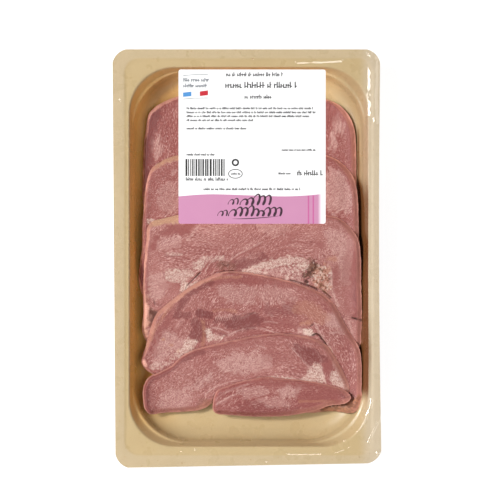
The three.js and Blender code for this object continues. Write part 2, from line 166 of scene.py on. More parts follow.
# Label
LABEL_X, LABEL_Y, LABEL_WIDTH, LABEL_LENGTH, LABEL_CORNER = 3.4, 69, 91.3, 95.7, 1.4
LABEL_BOTTOM, LABEL_TOP = 18.72, 18.9
BARCODE_LEFT, BARCODE_RIGHT, BARCODE_BOTTOM, BARCODE_HEIGHT = 4.3, 29, 29.6, 10.6
STROKE, STROKE_LEAST = 0.12, 0.22  # a printed stroke's width: a share of its height, and mm
PRINT_MARGIN = 0.02  # between the print and the paper's edge

# Film
FILM_THICKNESS, SEAL_GAP = 0.12, 0.12  # the gap is what the glue takes up
FILM_STEP, FOLD_STEP = 1.6, 0.3  # the distance between the film's points, and that on its folds
FILM_GLOSS = 0.045  # the share of light that each face of the film mirrors


# Numbers over a plane

SPAN_POINTS = 12  # that a curve is worked out at between two of its given points


def smooth(low, high, x):
    """0 up to low, 1 from high, and a smooth rise between them."""
    t = np.clip((x - low) / (high - low), 0, 1)
    return t * t * (3 - 2 * t)


def lattice(ix, iy, seed):
    """A fixed random number from 0 to 1 for each corner of a square lattice."""
    h = (ix * 374761393 + iy * 668265263 + seed * 974634777) & 0xFFFFFFFF
    h = ((h ^ (h >> 13)) * 1274126177) & 0xFFFFFFFF
    return ((h ^ (h >> 16)) & 0xFFFFFF) / 0xFFFFFF


def noise(x, y, size, seed):
    """Smooth noise from 0 to 1 with lumps of about that size."""
    ix, iy = np.floor(x / size).astype(np.int64), np.floor(y / size).astype(np.int64)
    u, v = x / size - ix, y / size - iy
    u, v = u * u * (3 - 2 * u), v * v * (3 - 2 * v)
    low = lattice(ix, iy, seed) * (1 - u) + lattice(ix + 1, iy, seed) * u
    high = lattice(ix, iy + 1, seed) * (1 - u) + lattice(ix + 1, iy + 1, seed) * u
    return low * (1 - v) + high * v


def clouds(x, y, size, seed, octaves=4):
    """Noise from 0 to 1 with finer and finer lumps added."""
    total = sum(noise(x, y, size / 2**k, seed + 17 * k) / 2**k for k in range(octaves))
    return total / (2 - 2 ** (1 - octaves))


def spline(points, step, closed=True):
    """Points at even distances along a centripetal Catmull-Rom curve through the given ones."""
    p = np.array(points, float)
    n = len(p)
    at = (lambda i: p[i % n]) if closed else (lambda i: p[min(max(i, 0), n - 1)])
    t = np.linspace(0, 1, SPAN_POINTS, endpoint=False)[:, None]
    spans = []
    for i in range(n if closed else n - 1):
        a, b, c, d = at(i - 1), at(i), at(i + 1), at(i + 2)
        gaps = [max(np.linalg.norm(q[:2] - r[:2]) ** 0.5, 1e-4) for q, r in ((a, b), (b, c), (c, d))]
        if np.allclose(a, b):
            gaps[0] = gaps[1]
        if np.allclose(c, d):
            gaps[2] = gaps[1]
        g0, g1, g2 = gaps
        start = ((b - a) / g0 - (c - a) / (g0 + g1) + (c - b) / g1) * g1
        end = ((c - b) / g1 - (d - b) / (g1 + g2) + (d - c) / g2) * g1
        spans.append(
            (2 * t**3 - 3 * t**2 + 1) * b
            + (t**3 - 2 * t**2 + t) * start
            + (3 * t**2 - 2 * t**3) * c
            + (t**3 - t**2) * end
        )
    dense = np.vstack([*spans, p[:1] if closed else p[-1:]])
    along = np.r_[0, np.cumsum(np.linalg.norm(np.diff(dense[:, :2], axis=0), axis=1))]
    count = max(int(round(along[-1] / step)), 4)
    wanted = np.linspace(0, along[-1], count + 1)[: -1 if closed else None]
    return np.column_stack([np.interp(wanted, along, dense[:, k]) for k in range(dense.shape[1])])


def distance_to_line(x, y, line, closed=False):
    """How far each place is from a line of points."""
    nearest = np.full(x.shape, 1e9)
    ends = np.roll(line, -1, axis=0) if closed else line[1:]
    for a, b in zip(line, ends):
        d = b - a
        share = np.clip(((x - a[0]) * d[0] + (y - a[1]) * d[1]) / max(d @ d, 1e-9), 0, 1)
        nearest = np.minimum(nearest, (x - a[0] - share * d[0]) ** 2 + (y - a[1] - share * d[1]) ** 2)
    return np.sqrt(nearest)


def is_inside(x, y, ring):
    """True for each place inside a closed ring of points."""
    inside = np.zeros(x.shape, bool)
    for a, b in zip(ring, np.roll(ring, -1, axis=0)):
        if a[1] != b[1]:
            crosses = (a[1] > y) != (b[1] > y)
            inside ^= crosses & (x < a[0] + (y - a[1]) * (b[0] - a[0]) / (b[1] - a[1]))
    return inside


def depth_inside(x, y, ring):
    """How deep each place is inside a closed ring, and below 0 outside it."""
    return np.where(is_inside(x, y, ring), 1, -1) * distance_to_line(x, y, ring, closed=True)


def past_rounded(x, y, half_width, half_length, corner):
    """How far each place is outside a rounded rectangle about the cavity's middle, and below 0
    inside it."""
    in_x = np.abs(x - CAVITY_X) - (half_width - corner)
    in_y = np.abs(y - CAVITY_Y) - (half_length - corner)
    outside = np.hypot(np.maximum(in_x, 0), np.maximum(in_y, 0))
    return outside + np.minimum(np.maximum(in_x, in_y), 0) - corner


def past_seal(x, y):
    """How far each place is outside the heat seal's inner edge."""
    half_width, half_length = MOUTH_HALF_WIDTH + SEAL_TO_MOUTH_X, MOUTH_HALF_LENGTH + SEAL_TO_MOUTH_Y
    return past_rounded(x, y, half_width, half_length, SEAL_INNER_CORNER)


def read_grid(values, u, v):
    """A grid's values between its points, at those columns and rows."""
    i, j = u.astype(int), v.astype(int)
    u, v = u - i, v - j
    low = values[j, i] * (1 - u) + values[j, i + 1] * u
    high = values[j + 1, i] * (1 - u) + values[j + 1, i + 1] * u
    return low * (1 - v) + high * v


def left_of(ways):
    """The unit direction to the left of each of the given ones."""
    turned = np.column_stack([-ways[:, 1], ways[:, 0]])
    return turned / np.linalg.norm(turned, axis=1)[:, None]


class Field:
    """Numbers on a 1 mm grid over the tray, read smoothly anywhere in it."""

    LEFT, LOW, COLUMNS, ROWS = -84, -126, 169, 253

    def __init__(self, values):
        self.values = values

    @classmethod
    def places(cls):
        return np.meshgrid(
            np.arange(cls.LEFT, cls.LEFT + cls.COLUMNS, dtype=float),
            np.arange(cls.LOW, cls.LOW + cls.ROWS, dtype=float),
        )

    def at(self, x, y):
        u = np.clip(x - self.LEFT, 0, self.COLUMNS - 1.001)
        v = np.clip(y - self.LOW, 0, self.ROWS - 1.001)
        return read_grid(self.values, u, v)


# The photograph's frame: mm for each pixel, and the pixel that the origin lies on
PHOTO_SCALE = 0.6212
PHOTO_MIDDLE = (246.6, 257.8)


def from_photo(points):
    """Places in millimetres for places in the photograph's pixels."""
    return (np.array(points, float) - PHOTO_MIDDLE) * (PHOTO_SCALE, -PHOTO_SCALE)


# Meshes

TRIANGLE_HEIGHT = 0.866  # of one with sides of 1
SAME_PLACE = 1e-5  # places nearer than this, in mm, become one point


def mesh_object(name, points, faces, material_of_face=None, materials=(), sharp=180.0):
    """A mesh from points in millimetres, smooth up to that angle between its faces in degrees."""
    mesh = bpy.data.meshes.new(name)
    mesh.from_pydata((np.asarray(points) * MM).tolist(), [], faces)
    for material in materials:
        mesh.materials.append(material)
    if material_of_face is not None:
        mesh.polygons.foreach_set("material_index", np.asarray(material_of_face, np.int32))
    mesh.polygons.foreach_set("use_smooth", np.full(len(mesh.polygons), True))
    mesh.update()
    mesh.set_sharp_from_angle(angle=math.radians(sharp))
    made = bpy.data.objects.new(name, mesh)
    bpy.context.scene.collection.objects.link(made)
    return made


def set_attribute(piece, name, values):
    piece.data.attributes.new(name, "FLOAT", "POINT").data.foreach_set(
        "value", np.asarray(values, np.float32)
    )


def grid_inside(ring_points, step, margin):
    """Points of a triangular grid that are inside a ring by a margin."""
    low, high = ring_points.min(0), ring_points.max(0)
    rows = np.arange(low[1], high[1], step * TRIANGLE_HEIGHT)
    points = []
    for k, row in enumerate(rows):
        xs = np.arange(low[0] + (k % 2) * step / 2, high[0], step)
        points.append(np.column_stack([xs, np.full(len(xs), row)]))
    points = np.vstack(points)
    depth = depth_inside(points[:, 0], points[:, 1], ring_points)
    return points[depth > margin]


def closed_edges(start, count):
    """Edges round a ring of points whose numbers begin at start."""
    return [(start + i, start + (i + 1) % count) for i in range(count)]


def flat_faces(places, edges):
    """Faces over flat places that keep those edges, as (places, faces, what each place was)."""
    vectors = [Vector(place) for place in places.tolist()]
    found, _, faces, came_from, _, _ = delaunay_2d_cdt(vectors, edges, [], 1, SAME_PLACE)
    return np.array([tuple(v) for v in found]), [tuple(face) for face in faces], came_from


def triangulated(ring_points, inner):
    """Triangles over a ring with points in it, as (places, faces, where each ring point went)."""
    count = len(ring_points)
    edges = closed_edges(0, count)
    places, faces, came_from = flat_faces(np.vstack([ring_points, inner]), edges)
    went = {}
    for i, sources in enumerate(came_from):
        for source in sources:
            went[source] = i
    return places, faces, [went[i] for i in range(count)]


def band_between(first, second):
    """Faces between two closed rings of points, each given as their numbers."""
    after = [(i + 1) % len(first) for i in range(len(first))]
    return [(first[i], second[i], second[j], first[j]) for i, j in enumerate(after)]


def doubled(places, faces, top, bottom):
    """A sheet's points on both sides, and its faces with those below turned over."""
    count = len(places)
    points = np.vstack([np.column_stack([places, top]), np.column_stack([places, bottom])])
    return points, list(faces) + [tuple(count + i for i in reversed(face)) for face in faces]


# Materials


def linear(red, green, blue):
    """A colour as a shader takes it, from the 0 to 255 values that a screen shows."""
    return [
        (c / 255 / 12.92 if c / 255 <= 0.04045 else ((c / 255 + 0.055) / 1.055) ** 2.4)
        for c in (red, green, blue)
    ] + [1]


class Nodes:
    """A new material and short ways to add nodes to it."""

    def __init__(self, name):
        self.material = bpy.data.materials.new(name)
        self.material.use_nodes = True
        self.tree = self.material.node_tree
        self.tree.nodes.clear()

    def add(self, kind, inputs=None, **settings):
        node = self.tree.nodes.new(kind)
        for key, value in settings.items():
            setattr(node, key, value)
        for key, value in (inputs or {}).items():
            self.feed(node.inputs[key], value)
        return node

    def feed(self, socket, value):
        if isinstance(value, bpy.types.NodeSocket):
            self.tree.links.new(value, socket)
        elif isinstance(value, bpy.types.Node):
            self.tree.links.new(value.outputs[0], socket)
        else:
            socket.default_value = value

    def math(self, operation, a, b, clamp=False):
        inputs = {0: a, 1: b}
        return self.add("ShaderNodeMath", inputs, operation=operation, use_clamp=clamp).outputs[0]

    def times(self, a, b, clamp=False):
        return self.math("MULTIPLY", a, b, clamp)

    def plus(self, a, b):
        return self.math("ADD", a, b)

    def mix(self, factor, a, b):
        """Colour a at factor 0, b at factor 1."""
        node = self.add("ShaderNodeMix", data_type="RGBA")
        self.feed(node.inputs["Factor"], factor)
        self.feed(node.inputs[6], a)
        self.feed(node.inputs[7], b)
        return node.outputs[2]

    def ramp(self, value, low, high):
        """0 where value is low or less, 1 where it is high or more."""
        inputs = {"Value": value, "From Min": low, "From Max": high}
        return self.add("ShaderNodeMapRange", inputs, interpolation_type="SMOOTHSTEP").outputs[0]

    def attribute(self, name):
        return self.add("ShaderNodeAttribute", attribute_name=name).outputs["Fac"]

    def places(self, stretch=1.0, degrees=0.0):
        """The piece's own coordinates in millimetres, drawn out by stretch along that direction."""
        own = self.add("ShaderNodeTexCoord").outputs["Object"]
        turn, scale = (0, 0, -math.radians(degrees)), (1 / MM, 1 / MM, 1 / MM)
        turned = self.add("ShaderNodeMapping", {"Vector": own, "Rotation": turn, "Scale": scale})
        inputs = {"Vector": turned, "Scale": (1 / stretch, 1, 1)}
        return self.add("ShaderNodeMapping", inputs).outputs[0]

    def noise(self, size, detail=2.0, roughness=0.5, stretch=1.0, degrees=0.0):
        """Noise with lumps of that size in millimetres."""
        inputs = {"Scale": 1 / size, "Detail": detail, "Roughness": roughness}
        inputs["Vector"] = self.places(stretch, degrees)
        return self.add("ShaderNodeTexNoise", inputs).outputs["Fac"]

    def bump(self, height, distance):
        """Bump of that distance in millimetres."""
        inputs = {"Height": height, "Distance": distance * MM, "Strength": 1.0}
        return self.add("ShaderNodeBump", inputs).outputs[0]

    def surface(self, shader):
        self.add("ShaderNodeOutputMaterial", {"Surface": shader})
        return self.material

    def principled(self, **inputs):
        names = {key.replace("_", " "): value for key, value in inputs.items()}
        return self.surface(self.add("ShaderNodeBsdfPrincipled", names).outputs[0])


def tray_plastic():
    n = Nodes("tray_plastic")
    drift = n.noise(30, detail=4)
    colour = n.mix(drift, linear(191, 167, 124), linear(199, 177, 136))
    # Paler and matt under the heat seal; on the right ledge the same colour is a painted sheen
    matt_and_sheen = n.mix(n.noise(7, detail=4, roughness=0.7), linear(191, 171, 135), linear(202, 182, 149))
    colour = n.mix(n.attribute("seal_and_sheen"), colour, matt_and_sheen)
    split = n.add("ShaderNodeSeparateXYZ", {0: n.places()})
    # Painted sheen: the right side of the tray is made paler and greyer
    right = n.times(n.ramp(split.outputs["X"], 68, 78), 0.5)
    colour = n.mix(right, colour, linear(206, 192, 172))
    # Painted shade: deep gold on the walls that face away from the light
    colour = n.mix(n.attribute("gold_shade"), colour, linear(226, 174, 97))
    specks = n.ramp(n.noise(1.1, detail=1), 0.73, 0.76)
    colour = n.mix(n.times(specks, 0.5), colour, linear(160, 112, 66))
    # Painted shade on the right wall and in the far left corner
    colour = n.mix(n.attribute("shade"), colour, linear(111, 70, 37))
    return n.principled(
        Base_Color=colour,
        Roughness=n.ramp(n.noise(12, detail=3), -0.5, 2.2),
        Normal=n.bump(n.noise(9, detail=3), 0.12),
        IOR=1.5,
    )


def clear_film():
    n = Nodes("clear_film")
    gloss = n.add("ShaderNodeBsdfGlossy", {"Color": (1, 1, 1, 1), "Roughness": 0.05})
    clear = n.add("ShaderNodeBsdfTransparent", {"Color": (1, 1, 1, 1)})
    aslant = n.add("ShaderNodeLayerWeight", {"Blend": 0.5}).outputs["Facing"]
    more = n.times(n.math("POWER", aslant, 5.0), 1 - FILM_GLOSS)
    mirrored = n.plus(more, FILM_GLOSS)
    return n.surface(n.add("ShaderNodeMixShader", {0: mirrored, 1: clear, 2: gloss}).outputs[0])


def paper(name, colour):
    n = Nodes(name)
    grain = n.noise(0.5, detail=2)
    return n.principled(
        Base_Color=n.mix(grain, [c * 0.97 for c in colour[:3]] + [1], colour),
        Roughness=0.55,
    )


def pink_band():
    n = Nodes("label_pink")
    split = n.add("ShaderNodeSeparateXYZ", {0: n.places()})
    pink = n.mix(n.noise(14, detail=3), linear(189, 128, 163), linear(195, 136, 168))
    fade = n.ramp(split.outputs["X"], 43.8, 47.2)
    return n.principled(Base_Color=n.mix(fade, pink, linear(240, 236, 239)), Roughness=0.55)


def meat():
    n = Nodes("tongue_meat")
    fibre = n.attribute("fibre")
    grain = n.noise(0.7, detail=3, roughness=0.7)
    threads = 0.0
    for degrees in WAYS:
        drawn_out = n.noise(0.55, detail=2, roughness=0.6, stretch=3.0, degrees=degrees)
        share = n.times(n.attribute(f"way_{degrees}"), drawn_out)
        threads = n.plus(share, threads)
    woven = n.attribute("woven")
    kept = n.times(grain, n.math("SUBTRACT", 1.0, woven))
    fine = n.plus(kept, n.times(threads, woven))
    lit = n.plus(n.times(n.ramp(fibre, 0.5, 0.9), 0.3), n.ramp(fine, 0.51, 0.66))
    dim = n.plus(n.times(n.ramp(fibre, 0.5, 0.1), 0.3), n.ramp(fine, 0.49, 0.34))
    uneven = n.plus(n.times(fine, 3.6), n.times(fibre, 0.6))
    uneven = n.math("SUBTRACT", uneven, 1.2)
    mottled = n.math("SUBTRACT", n.times(n.noise(1.0, detail=4, roughness=0.75), 5.5), 2.1)
    colour = n.mix(n.attribute("tone"), linear(147, 82, 77), linear(173, 118, 111))
    colour = n.mix(n.times(lit, 0.8), colour, linear(213, 169, 160))
    colour = n.mix(n.times(dim, 0.72), colour, linear(131, 69, 66))
    for name, shade in MARK_COLOURS.items():
        amount = n.attribute(name)
        if name == "fat":
            amount = n.times(amount, mottled, clamp=True)
        elif name not in ("brown", "maroon"):
            amount = n.times(amount, uneven, clamp=True)
        colour = n.mix(amount, colour, linear(*shade))
    # Painted light: the shaded slope of an edge on a slice's right is made paler, in the meat and in
    # its skin
    slope = n.attribute("slope")
    colour = n.mix(n.times(slope, 0.48), colour, linear(241, 168, 156))
    band = n.mix(n.attribute("beige"), linear(228, 167, 153), linear(199, 156, 128))
    knobbly = n.noise(0.8, detail=3, roughness=0.7)
    band = n.mix(n.times(n.ramp(knobbly, 0.5, 0.33), 0.5), band, linear(158, 104, 84))
    band = n.mix(n.times(n.ramp(knobbly, 0.52, 0.68), 0.8), band, linear(220, 186, 160))
    band = n.mix(n.times(slope, 0.85), band, linear(253, 188, 170))
    colour = n.mix(n.attribute("skin"), colour, band)
    # Painted shade in gaps, slits and crevices
    colour = n.mix(n.attribute("dark"), colour, linear(66, 30, 22))
    height = n.plus(n.times(fibre, 0.6), fine)
    return n.principled(
        Base_Color=colour,
        Roughness=n.ramp(grain, -0.6, 1.6),
        Normal=n.bump(height, 0.14),
        IOR=1.42,
        Specular_IOR_Level=0.4,
    )


# Tray


# Painted shade: how much deep gold each wall gets in its shade, by the wall's direction in degrees
SHADE_GOLD_BY_WAY = [
    (0, 0.05), (45, 0), (80, 0.25), (120, 0.7), (160, 1), (195, 1), (225, 0.3), (250, 0.1),
    (275, 0.03), (320, 0), (360, 0.05),
]

# How far from each slice its painted shade reaches on the right wall
CREVICE_REACH = {"slice_1": 2.2, "slice_2": 3.8, "slice_3": 5.5, "slice_4": 5.0}

# The points round each corner of a level, and the steps along its ends and its sides
CORNER_POINTS, END_STEPS, SIDE_STEPS = 19, 24, 40
FILLET_LEVELS, ROUNDING_LEVELS = 9, 6
FLOOR_SHARES = [0.75, 0.45, 0.15]  # the sizes of the rings across the flat floor


def ring(level):
    """One level of the tray as points: a rectangle with rounded corners, anticlockwise."""
    x, y, half_width, half_length, corner, cut, z = level
    reach = corner + cut
    radius, start = math.hypot(reach, cut), math.atan2(cut, reach)
    arcs = []
    for quarter in range(4):
        sign_x, sign_y = (1 if quarter in (0, 3) else -1), (1 if quarter < 2 else -1)
        shares = np.linspace(0, 1, CORNER_POINTS)
        if quarter % 2:
            shares = shares[::-1]
        angles = start + shares * (math.pi / 2 - 2 * start)
        across = x + sign_x * (half_width - reach + radius * np.cos(angles))
        along = y + sign_y * (half_length - reach + radius * np.sin(angles))
        arcs.append(np.column_stack([across, along]))
    outline = []
    for i, arc in enumerate(arcs):
        following = arcs[(i + 1) % 4][0]
        steps = SIDE_STEPS if i % 2 else END_STEPS
        shares = np.linspace(0, 1, steps + 1)[1:-1, None]
        outline += [arc, arc[-1] + (following - arc[-1]) * shares]
    flat = np.vstack(outline)
    return np.column_stack([flat, np.full(len(flat), z)])


def cavity_level(inset, z, corner=MOUTH_CORNER):
    """A level of the cavity, that far in from its mouth."""
    half = MOUTH_HALF_WIDTH - inset, MOUTH_HALF_LENGTH - inset
    return (CAVITY_X, CAVITY_Y, *half, corner, 0, z)


def seal_level(inset, z):
    """A level of the step inside the heat seal, that far in from the seal."""
    half = MOUTH_HALF_WIDTH + SEAL_TO_MOUTH_X - inset, MOUTH_HALF_LENGTH + SEAL_TO_MOUTH_Y - inset
    return (CAVITY_X, CAVITY_Y, *half, SEAL_INNER_CORNER, 0, z)


def tray_keys():
    """The tray's upper surface from the flange's edge to the floor, as levels of (x, y, half width,
    half length, corner, corner cut, z), each with its rounding as a share of its two sides."""
    ledge = TRAY_HEIGHT - SEAL_STEP
    shoulder = RIM_ROUNDING + UPPER_WALL_DRAFT
    step = shoulder + STACKING_STEP
    foot = step + LOWER_WALL_DRAFT
    step_z = ledge - RIM_ROUNDING - UPPER_WALL_DEPTH
    keys = [
        (OUTER_EDGE, 0),
        ((0, 0, OUTER_EDGE[2] - EDGE_LIP, OUTER_EDGE[3] - EDGE_LIP, *OUTER_EDGE[4:]), 0),
        (seal_level(-0.5, TRAY_HEIGHT), 0.4),
        (seal_level(1.2, ledge), 0.45),
        (cavity_level(0, ledge), 0.3),
        (cavity_level(RIM_ROUNDING, ledge - RIM_ROUNDING), 0.3),
        (cavity_level(shoulder, step_z, UPPER_CORNER), 0.35),
        (cavity_level(step, step_z - 2 * STACKING_STEP, LOWER_CORNER), 0.35),
    ]
    for share in np.linspace(0, 1, FILLET_LEVELS):
        angle = share * math.pi / 2
        across, up = 1 - math.cos(angle), 1 - math.sin(angle)
        corner = LOWER_CORNER + (FLOOR_CORNER - LOWER_CORNER) * across
        level = cavity_level(foot + FLOOR_FILLET * across, SHEET + FLOOR_FILLET * up, corner)
        keys.append((level, 0))
    return keys


def tray_levels():
    """The levels of tray_keys, with more of them where an edge is rounded."""
    keys = tray_keys()
    levels = []
    for i, (key, rounding) in enumerate(keys):
        key = np.array(key, float)
        if not rounding:
            levels.append(key)
            continue
        before = key + (np.array(keys[i - 1][0], float) - key) * rounding
        after = key + (np.array(keys[i + 1][0], float) - key) * rounding
        for t in np.linspace(0, 1, ROUNDING_LEVELS):
            levels.append((1 - t) ** 2 * before + 2 * t * (1 - t) * key + t**2 * after)
    return levels


def underside(levels):
    """The same levels moved by the sheet's thickness to the side that faces down and out."""
    made = []
    for i, level in enumerate(levels):
        a, b = levels[max(i - 1, 0)], levels[min(i + 1, len(levels) - 1)]
        run, drop = a[2] - b[2], b[6] - a[6]
        length = math.hypot(run, drop) or 1
        out, up = -drop / length, -run / length
        moved = level.copy()
        moved[2:5] += SHEET * out
        moved[6] += SHEET * up
        made.append(moved)
    made[-1][6] = 0
    made[0][2:4] = levels[0][2:4]
    return made


def uneven_cut(points, share):
    """Moves the flange's edge as the knives that cut it out of the sheet left it."""
    x, y = points[:, 0], points[:, 1]
    down = (TRAY_LENGTH / 2 - y) / TRAY_LENGTH
    left = smooth(-60, -83, x) * (-0.3 + 1.9 * down)
    right = smooth(60, 83, x) * (-1.1 * np.sin(math.pi * down) + 0.8 * down)
    bottom = smooth(-105, -129, y) * (0.45 + 1.5 * x / 83)
    points[:, 0] += share * (left + right)
    points[:, 1] += share * bottom
    return points


def flange_share(level):
    """0 for a level inside the heat seal, and up to 1 at the tray's outer edge."""
    out = max(level[2] - MOUTH_HALF_WIDTH - SEAL_TO_MOUTH_X, 0)
    return min(out / (TRAY_WIDTH / 2 - MOUTH_HALF_WIDTH - SEAL_TO_MOUTH_X), 1)


def flange_waves(x, y):
    """How far the flange bows up or down out of true."""
    return 0.5 * (clouds(x, y, 60, 5, 2) - 0.5) + 0.16 * (clouds(x, y, 11, 9, 2) - 0.5)


def tray_rings():
    """Rings of points from the underside's middle out to the flange's edge and in to the floor's."""
    above = tray_levels()
    rings = []
    for level in [*underside(above)[::-1], *above]:
        points = uneven_cut(ring(level), flange_share(level))
        height = smooth(12, TRAY_HEIGHT - 2, points[:, 2])
        points[:, 2] += height * flange_waves(points[:, 0], points[:, 1])
        rings.append(points)
    centre = np.array([CAVITY_X, CAVITY_Y, 0])

    def shrunk(points, share):
        return centre + (points - centre) * [share, share, 1]

    under_floor = [shrunk(rings[0], share) for share in reversed(FLOOR_SHARES)]
    return under_floor + rings + [shrunk(rings[-1], share) for share in FLOOR_SHARES]


def tray_faces(rows, count):
    """Faces over that many rings of count points, closed by the first point and by the last one."""
    last = rows * count + 1
    faces = []
    for i in range(count):
        j = (i + 1) % count
        faces.append((0, 1 + j, 1 + i))
        for row in range(rows - 1):
            a, b = 1 + row * count, 1 + (row + 1) * count
            faces.append((a + i, a + j, b + j, b + i))
        a = 1 + (rows - 1) * count
        faces.append((last, a + i, a + j))
    return faces


def painted_gold_shade(x, y, z):
    """Painted shade: a deep gold on the plastic, most in the walls that face away from the window."""
    out_x, out_y = x - CAVITY_X, y - CAVITY_Y
    out_x = out_x - np.clip(out_x, LOWER_CORNER - MOUTH_HALF_WIDTH, MOUTH_HALF_WIDTH - LOWER_CORNER)
    out_y = out_y - np.clip(out_y, LOWER_CORNER - MOUTH_HALF_LENGTH, MOUTH_HALF_LENGTH - LOWER_CORNER)
    way = np.degrees(np.arctan2(out_y, out_x)) % 360
    gold_shade = np.interp(way, *zip(*SHADE_GOLD_BY_WAY))
    in_wall = smooth(0, 22, np.hypot(out_x, out_y))
    return gold_shade * (0.35 + 0.65 * in_wall) * smooth(TRAY_HEIGHT - 0.6, TRAY_HEIGHT - 2.5, z)


def seal_matt_and_sheen(x, y, z):
    """How matt the plastic is under the heat seal, and a painted sheen that makes the ledge at the
    right paler.
    """
    past = past_seal(x, y)
    right_ledge_sheen = 0.8 * smooth(70, 77, x) * smooth(TRAY_HEIGHT - 2, TRAY_HEIGHT - 1, z)
    return np.maximum(smooth(-0.4, 0.6, past), right_ledge_sheen)


def wall_shade(x, y, z):
    """Painted shade: how dark the right wall is, a little all along, more from y = 52 mm towards -Y,
    and most where a slice keeps the light off it, and the far left corner.
    """
    most = 0.25 + 0.6 * smooth(52, 36, y)
    for name, reach in CREVICE_REACH.items():
        away = -depth_inside(x, y, spline(OUTLINES[name], 3.0)[:, :2])
        most = np.maximum(most, smooth(reach + 0.5, reach - 0.5, away))
    in_wall = smooth(1.2, 3, z) * smooth(TRAY_HEIGHT - 0.35, TRAY_HEIGHT - 0.9, z)
    right_wall = most * in_wall * smooth(50, 68, x) * smooth(-90, -82, y)
    far_corner_shade = 0.5 * smooth(-35, -55, x) * smooth(-70, -56, x) * smooth(75, 95, y)
    return np.maximum(right_wall, far_corner_shade * smooth(TRAY_HEIGHT - 2, 8, z))


def tray_piece():
    rings = tray_rings()
    points = np.vstack([[[CAVITY_X, CAVITY_Y, 0]], *rings, [[CAVITY_X, CAVITY_Y, SHEET]]])
    faces = tray_faces(len(rings), len(rings[0]))
    piece = mesh_object("tray_shell", points, faces, materials=[tray_plastic()], sharp=50)
    set_attribute(piece, "gold_shade", painted_gold_shade(*points.T))
    set_attribute(piece, "seal_and_sheen", seal_matt_and_sheen(*points.T))
    set_attribute(piece, "shade", wall_shade(*points.T))
    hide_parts("tray")
    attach(piece, "root")


# Slices


def cradle():
    """What the slices lie on: the tray's flat floor and the soft bend up towards its walls."""
    x, y = Field.places()
    inset = RIM_ROUNDING + UPPER_WALL_DRAFT + STACKING_STEP + LOWER_WALL_DRAFT + FLOOR_FILLET
    half_width, half_length = MOUTH_HALF_WIDTH - inset, MOUTH_HALF_LENGTH - inset
    past = past_rounded(x, y, half_width, half_length, FLOOR_CORNER)
    reach = np.clip(past + CRADLE_START, 0, CRADLE_REACH)
    height = np.sqrt(CRADLE_RADIUS**2 - reach**2)
    slope = np.maximum(past + CRADLE_START - CRADLE_REACH, 0) * reach / height
    return Field(SHEET + CRADLE_RADIUS - height + slope)


def streaks(places_x, places_y, angle_at, seed, reach):
    """Fibres along a flow, as a number from 0 to 1 at each place: noise smeared along the flow."""
    step, grain = FIBRE_STEP, FIBRE_GRAIN
    x0, y0 = places_x.min() - FIBRE_MARGIN, places_y.min() - FIBRE_MARGIN
    columns = int((places_x.max() + FIBRE_MARGIN - x0) / step) + 2
    rows = int((places_y.max() + FIBRE_MARGIN - y0) / step) + 2
    x, y = np.meshgrid(x0 + step * np.arange(columns), y0 + step * np.arange(rows))
    angle = angle_at(x, y) + 0.5 * (clouds(x, y, 14, seed + 3, 3) - 0.5)
    random = noise(x, y, grain, seed) + 0.4 * noise(x, y, grain * 2.2, seed + 1)
    total = np.zeros(x.shape)
    for way in (1, -1):
        i, j = np.meshgrid(np.arange(columns, dtype=float), np.arange(rows, dtype=float))
        for _ in range(max(int(reach / step), 1)):
            ii = np.clip(i.astype(int), 0, columns - 1)
            jj = np.clip(j.astype(int), 0, rows - 1)
            total += random[jj, ii]
            i = np.clip(i + way * np.cos(angle[jj, ii]), 0, columns - 1)
            j = np.clip(j + way * np.sin(angle[jj, ii]), 0, rows - 1)
    total = (total - total.mean()) / total.std()
    smeared = read_grid(total, (places_x - x0) / step, (places_y - y0) / step)
    return np.clip(0.5 + 0.22 * smeared, 0, 1)


def blended(x, y, flow):
    """The flow's direction in radians, how long its fibres are and how strong, at each place."""
    sums = np.zeros((5, *x.shape))
    for fx, fy, degrees, length, strength in flow:
        weight = 1 / (((x - fx) ** 2 + (y - fy) ** 2) + 16) ** 1.5
        turn = 2 * math.radians(degrees)
        for k, value in enumerate((math.cos(turn), math.sin(turn), length, strength, 1)):
            sums[k] += weight * value
    return np.arctan2(sums[1], sums[0]) / 2, sums[2] / sums[4], sums[3] / sums[4]


def spot(x, y, centre, size, seed):
    """1 in an uneven oval about its centre, with size (half length, half width, degrees)."""
    turn = math.radians(size[2])
    u = ((x - centre[0]) * math.cos(turn) + (y - centre[1]) * math.sin(turn)) / size[0]
    v = (-(x - centre[0]) * math.sin(turn) + (y - centre[1]) * math.cos(turn)) / size[1]
    return smooth(1.3, 0.7, np.hypot(u, v) + 0.9 * (clouds(x, y, 1.6, seed, 2) - 0.5))


def line(x, y, points, width, seed):
    """1 along an uneven line through the points, of that full width."""
    away = distance_to_line(x, y, spline(points, 0.8, closed=False))
    away = away + 0.5 * width * (clouds(x, y, 2.2, seed, 2) - 0.5)
    faint = smooth(0.15, 0.45, clouds(x, y, 3.5, seed + 9, 2))
    soft = 0.3 + 0.12 * width
    return (0.45 + 0.55 * faint) * smooth(width / 2 + soft, max(width / 2 - soft, 0), away)


def area(x, y, points, soft, seed):
    """1 inside an uneven closed outline through the points, and 0 outside it."""
    depth = depth_inside(x, y, spline(points, 1.2)[:, :2])
    return smooth(-soft, soft, depth + 4.0 * soft * (clouds(x, y, 2.6, seed, 4) - 0.5))


def flecks(x, y, points, size, seed):
    """1 on specks inside a closed outline, with size (mm across, share of the outline covered)."""
    limit = 0.5 + 0.42 * (0.5 - size[1])
    lumps = clouds(x, y, size[0], seed + 5, 2)
    return area(x, y, points, 0.8, seed) * smooth(limit - 0.06, limit + 0.06, lumps)


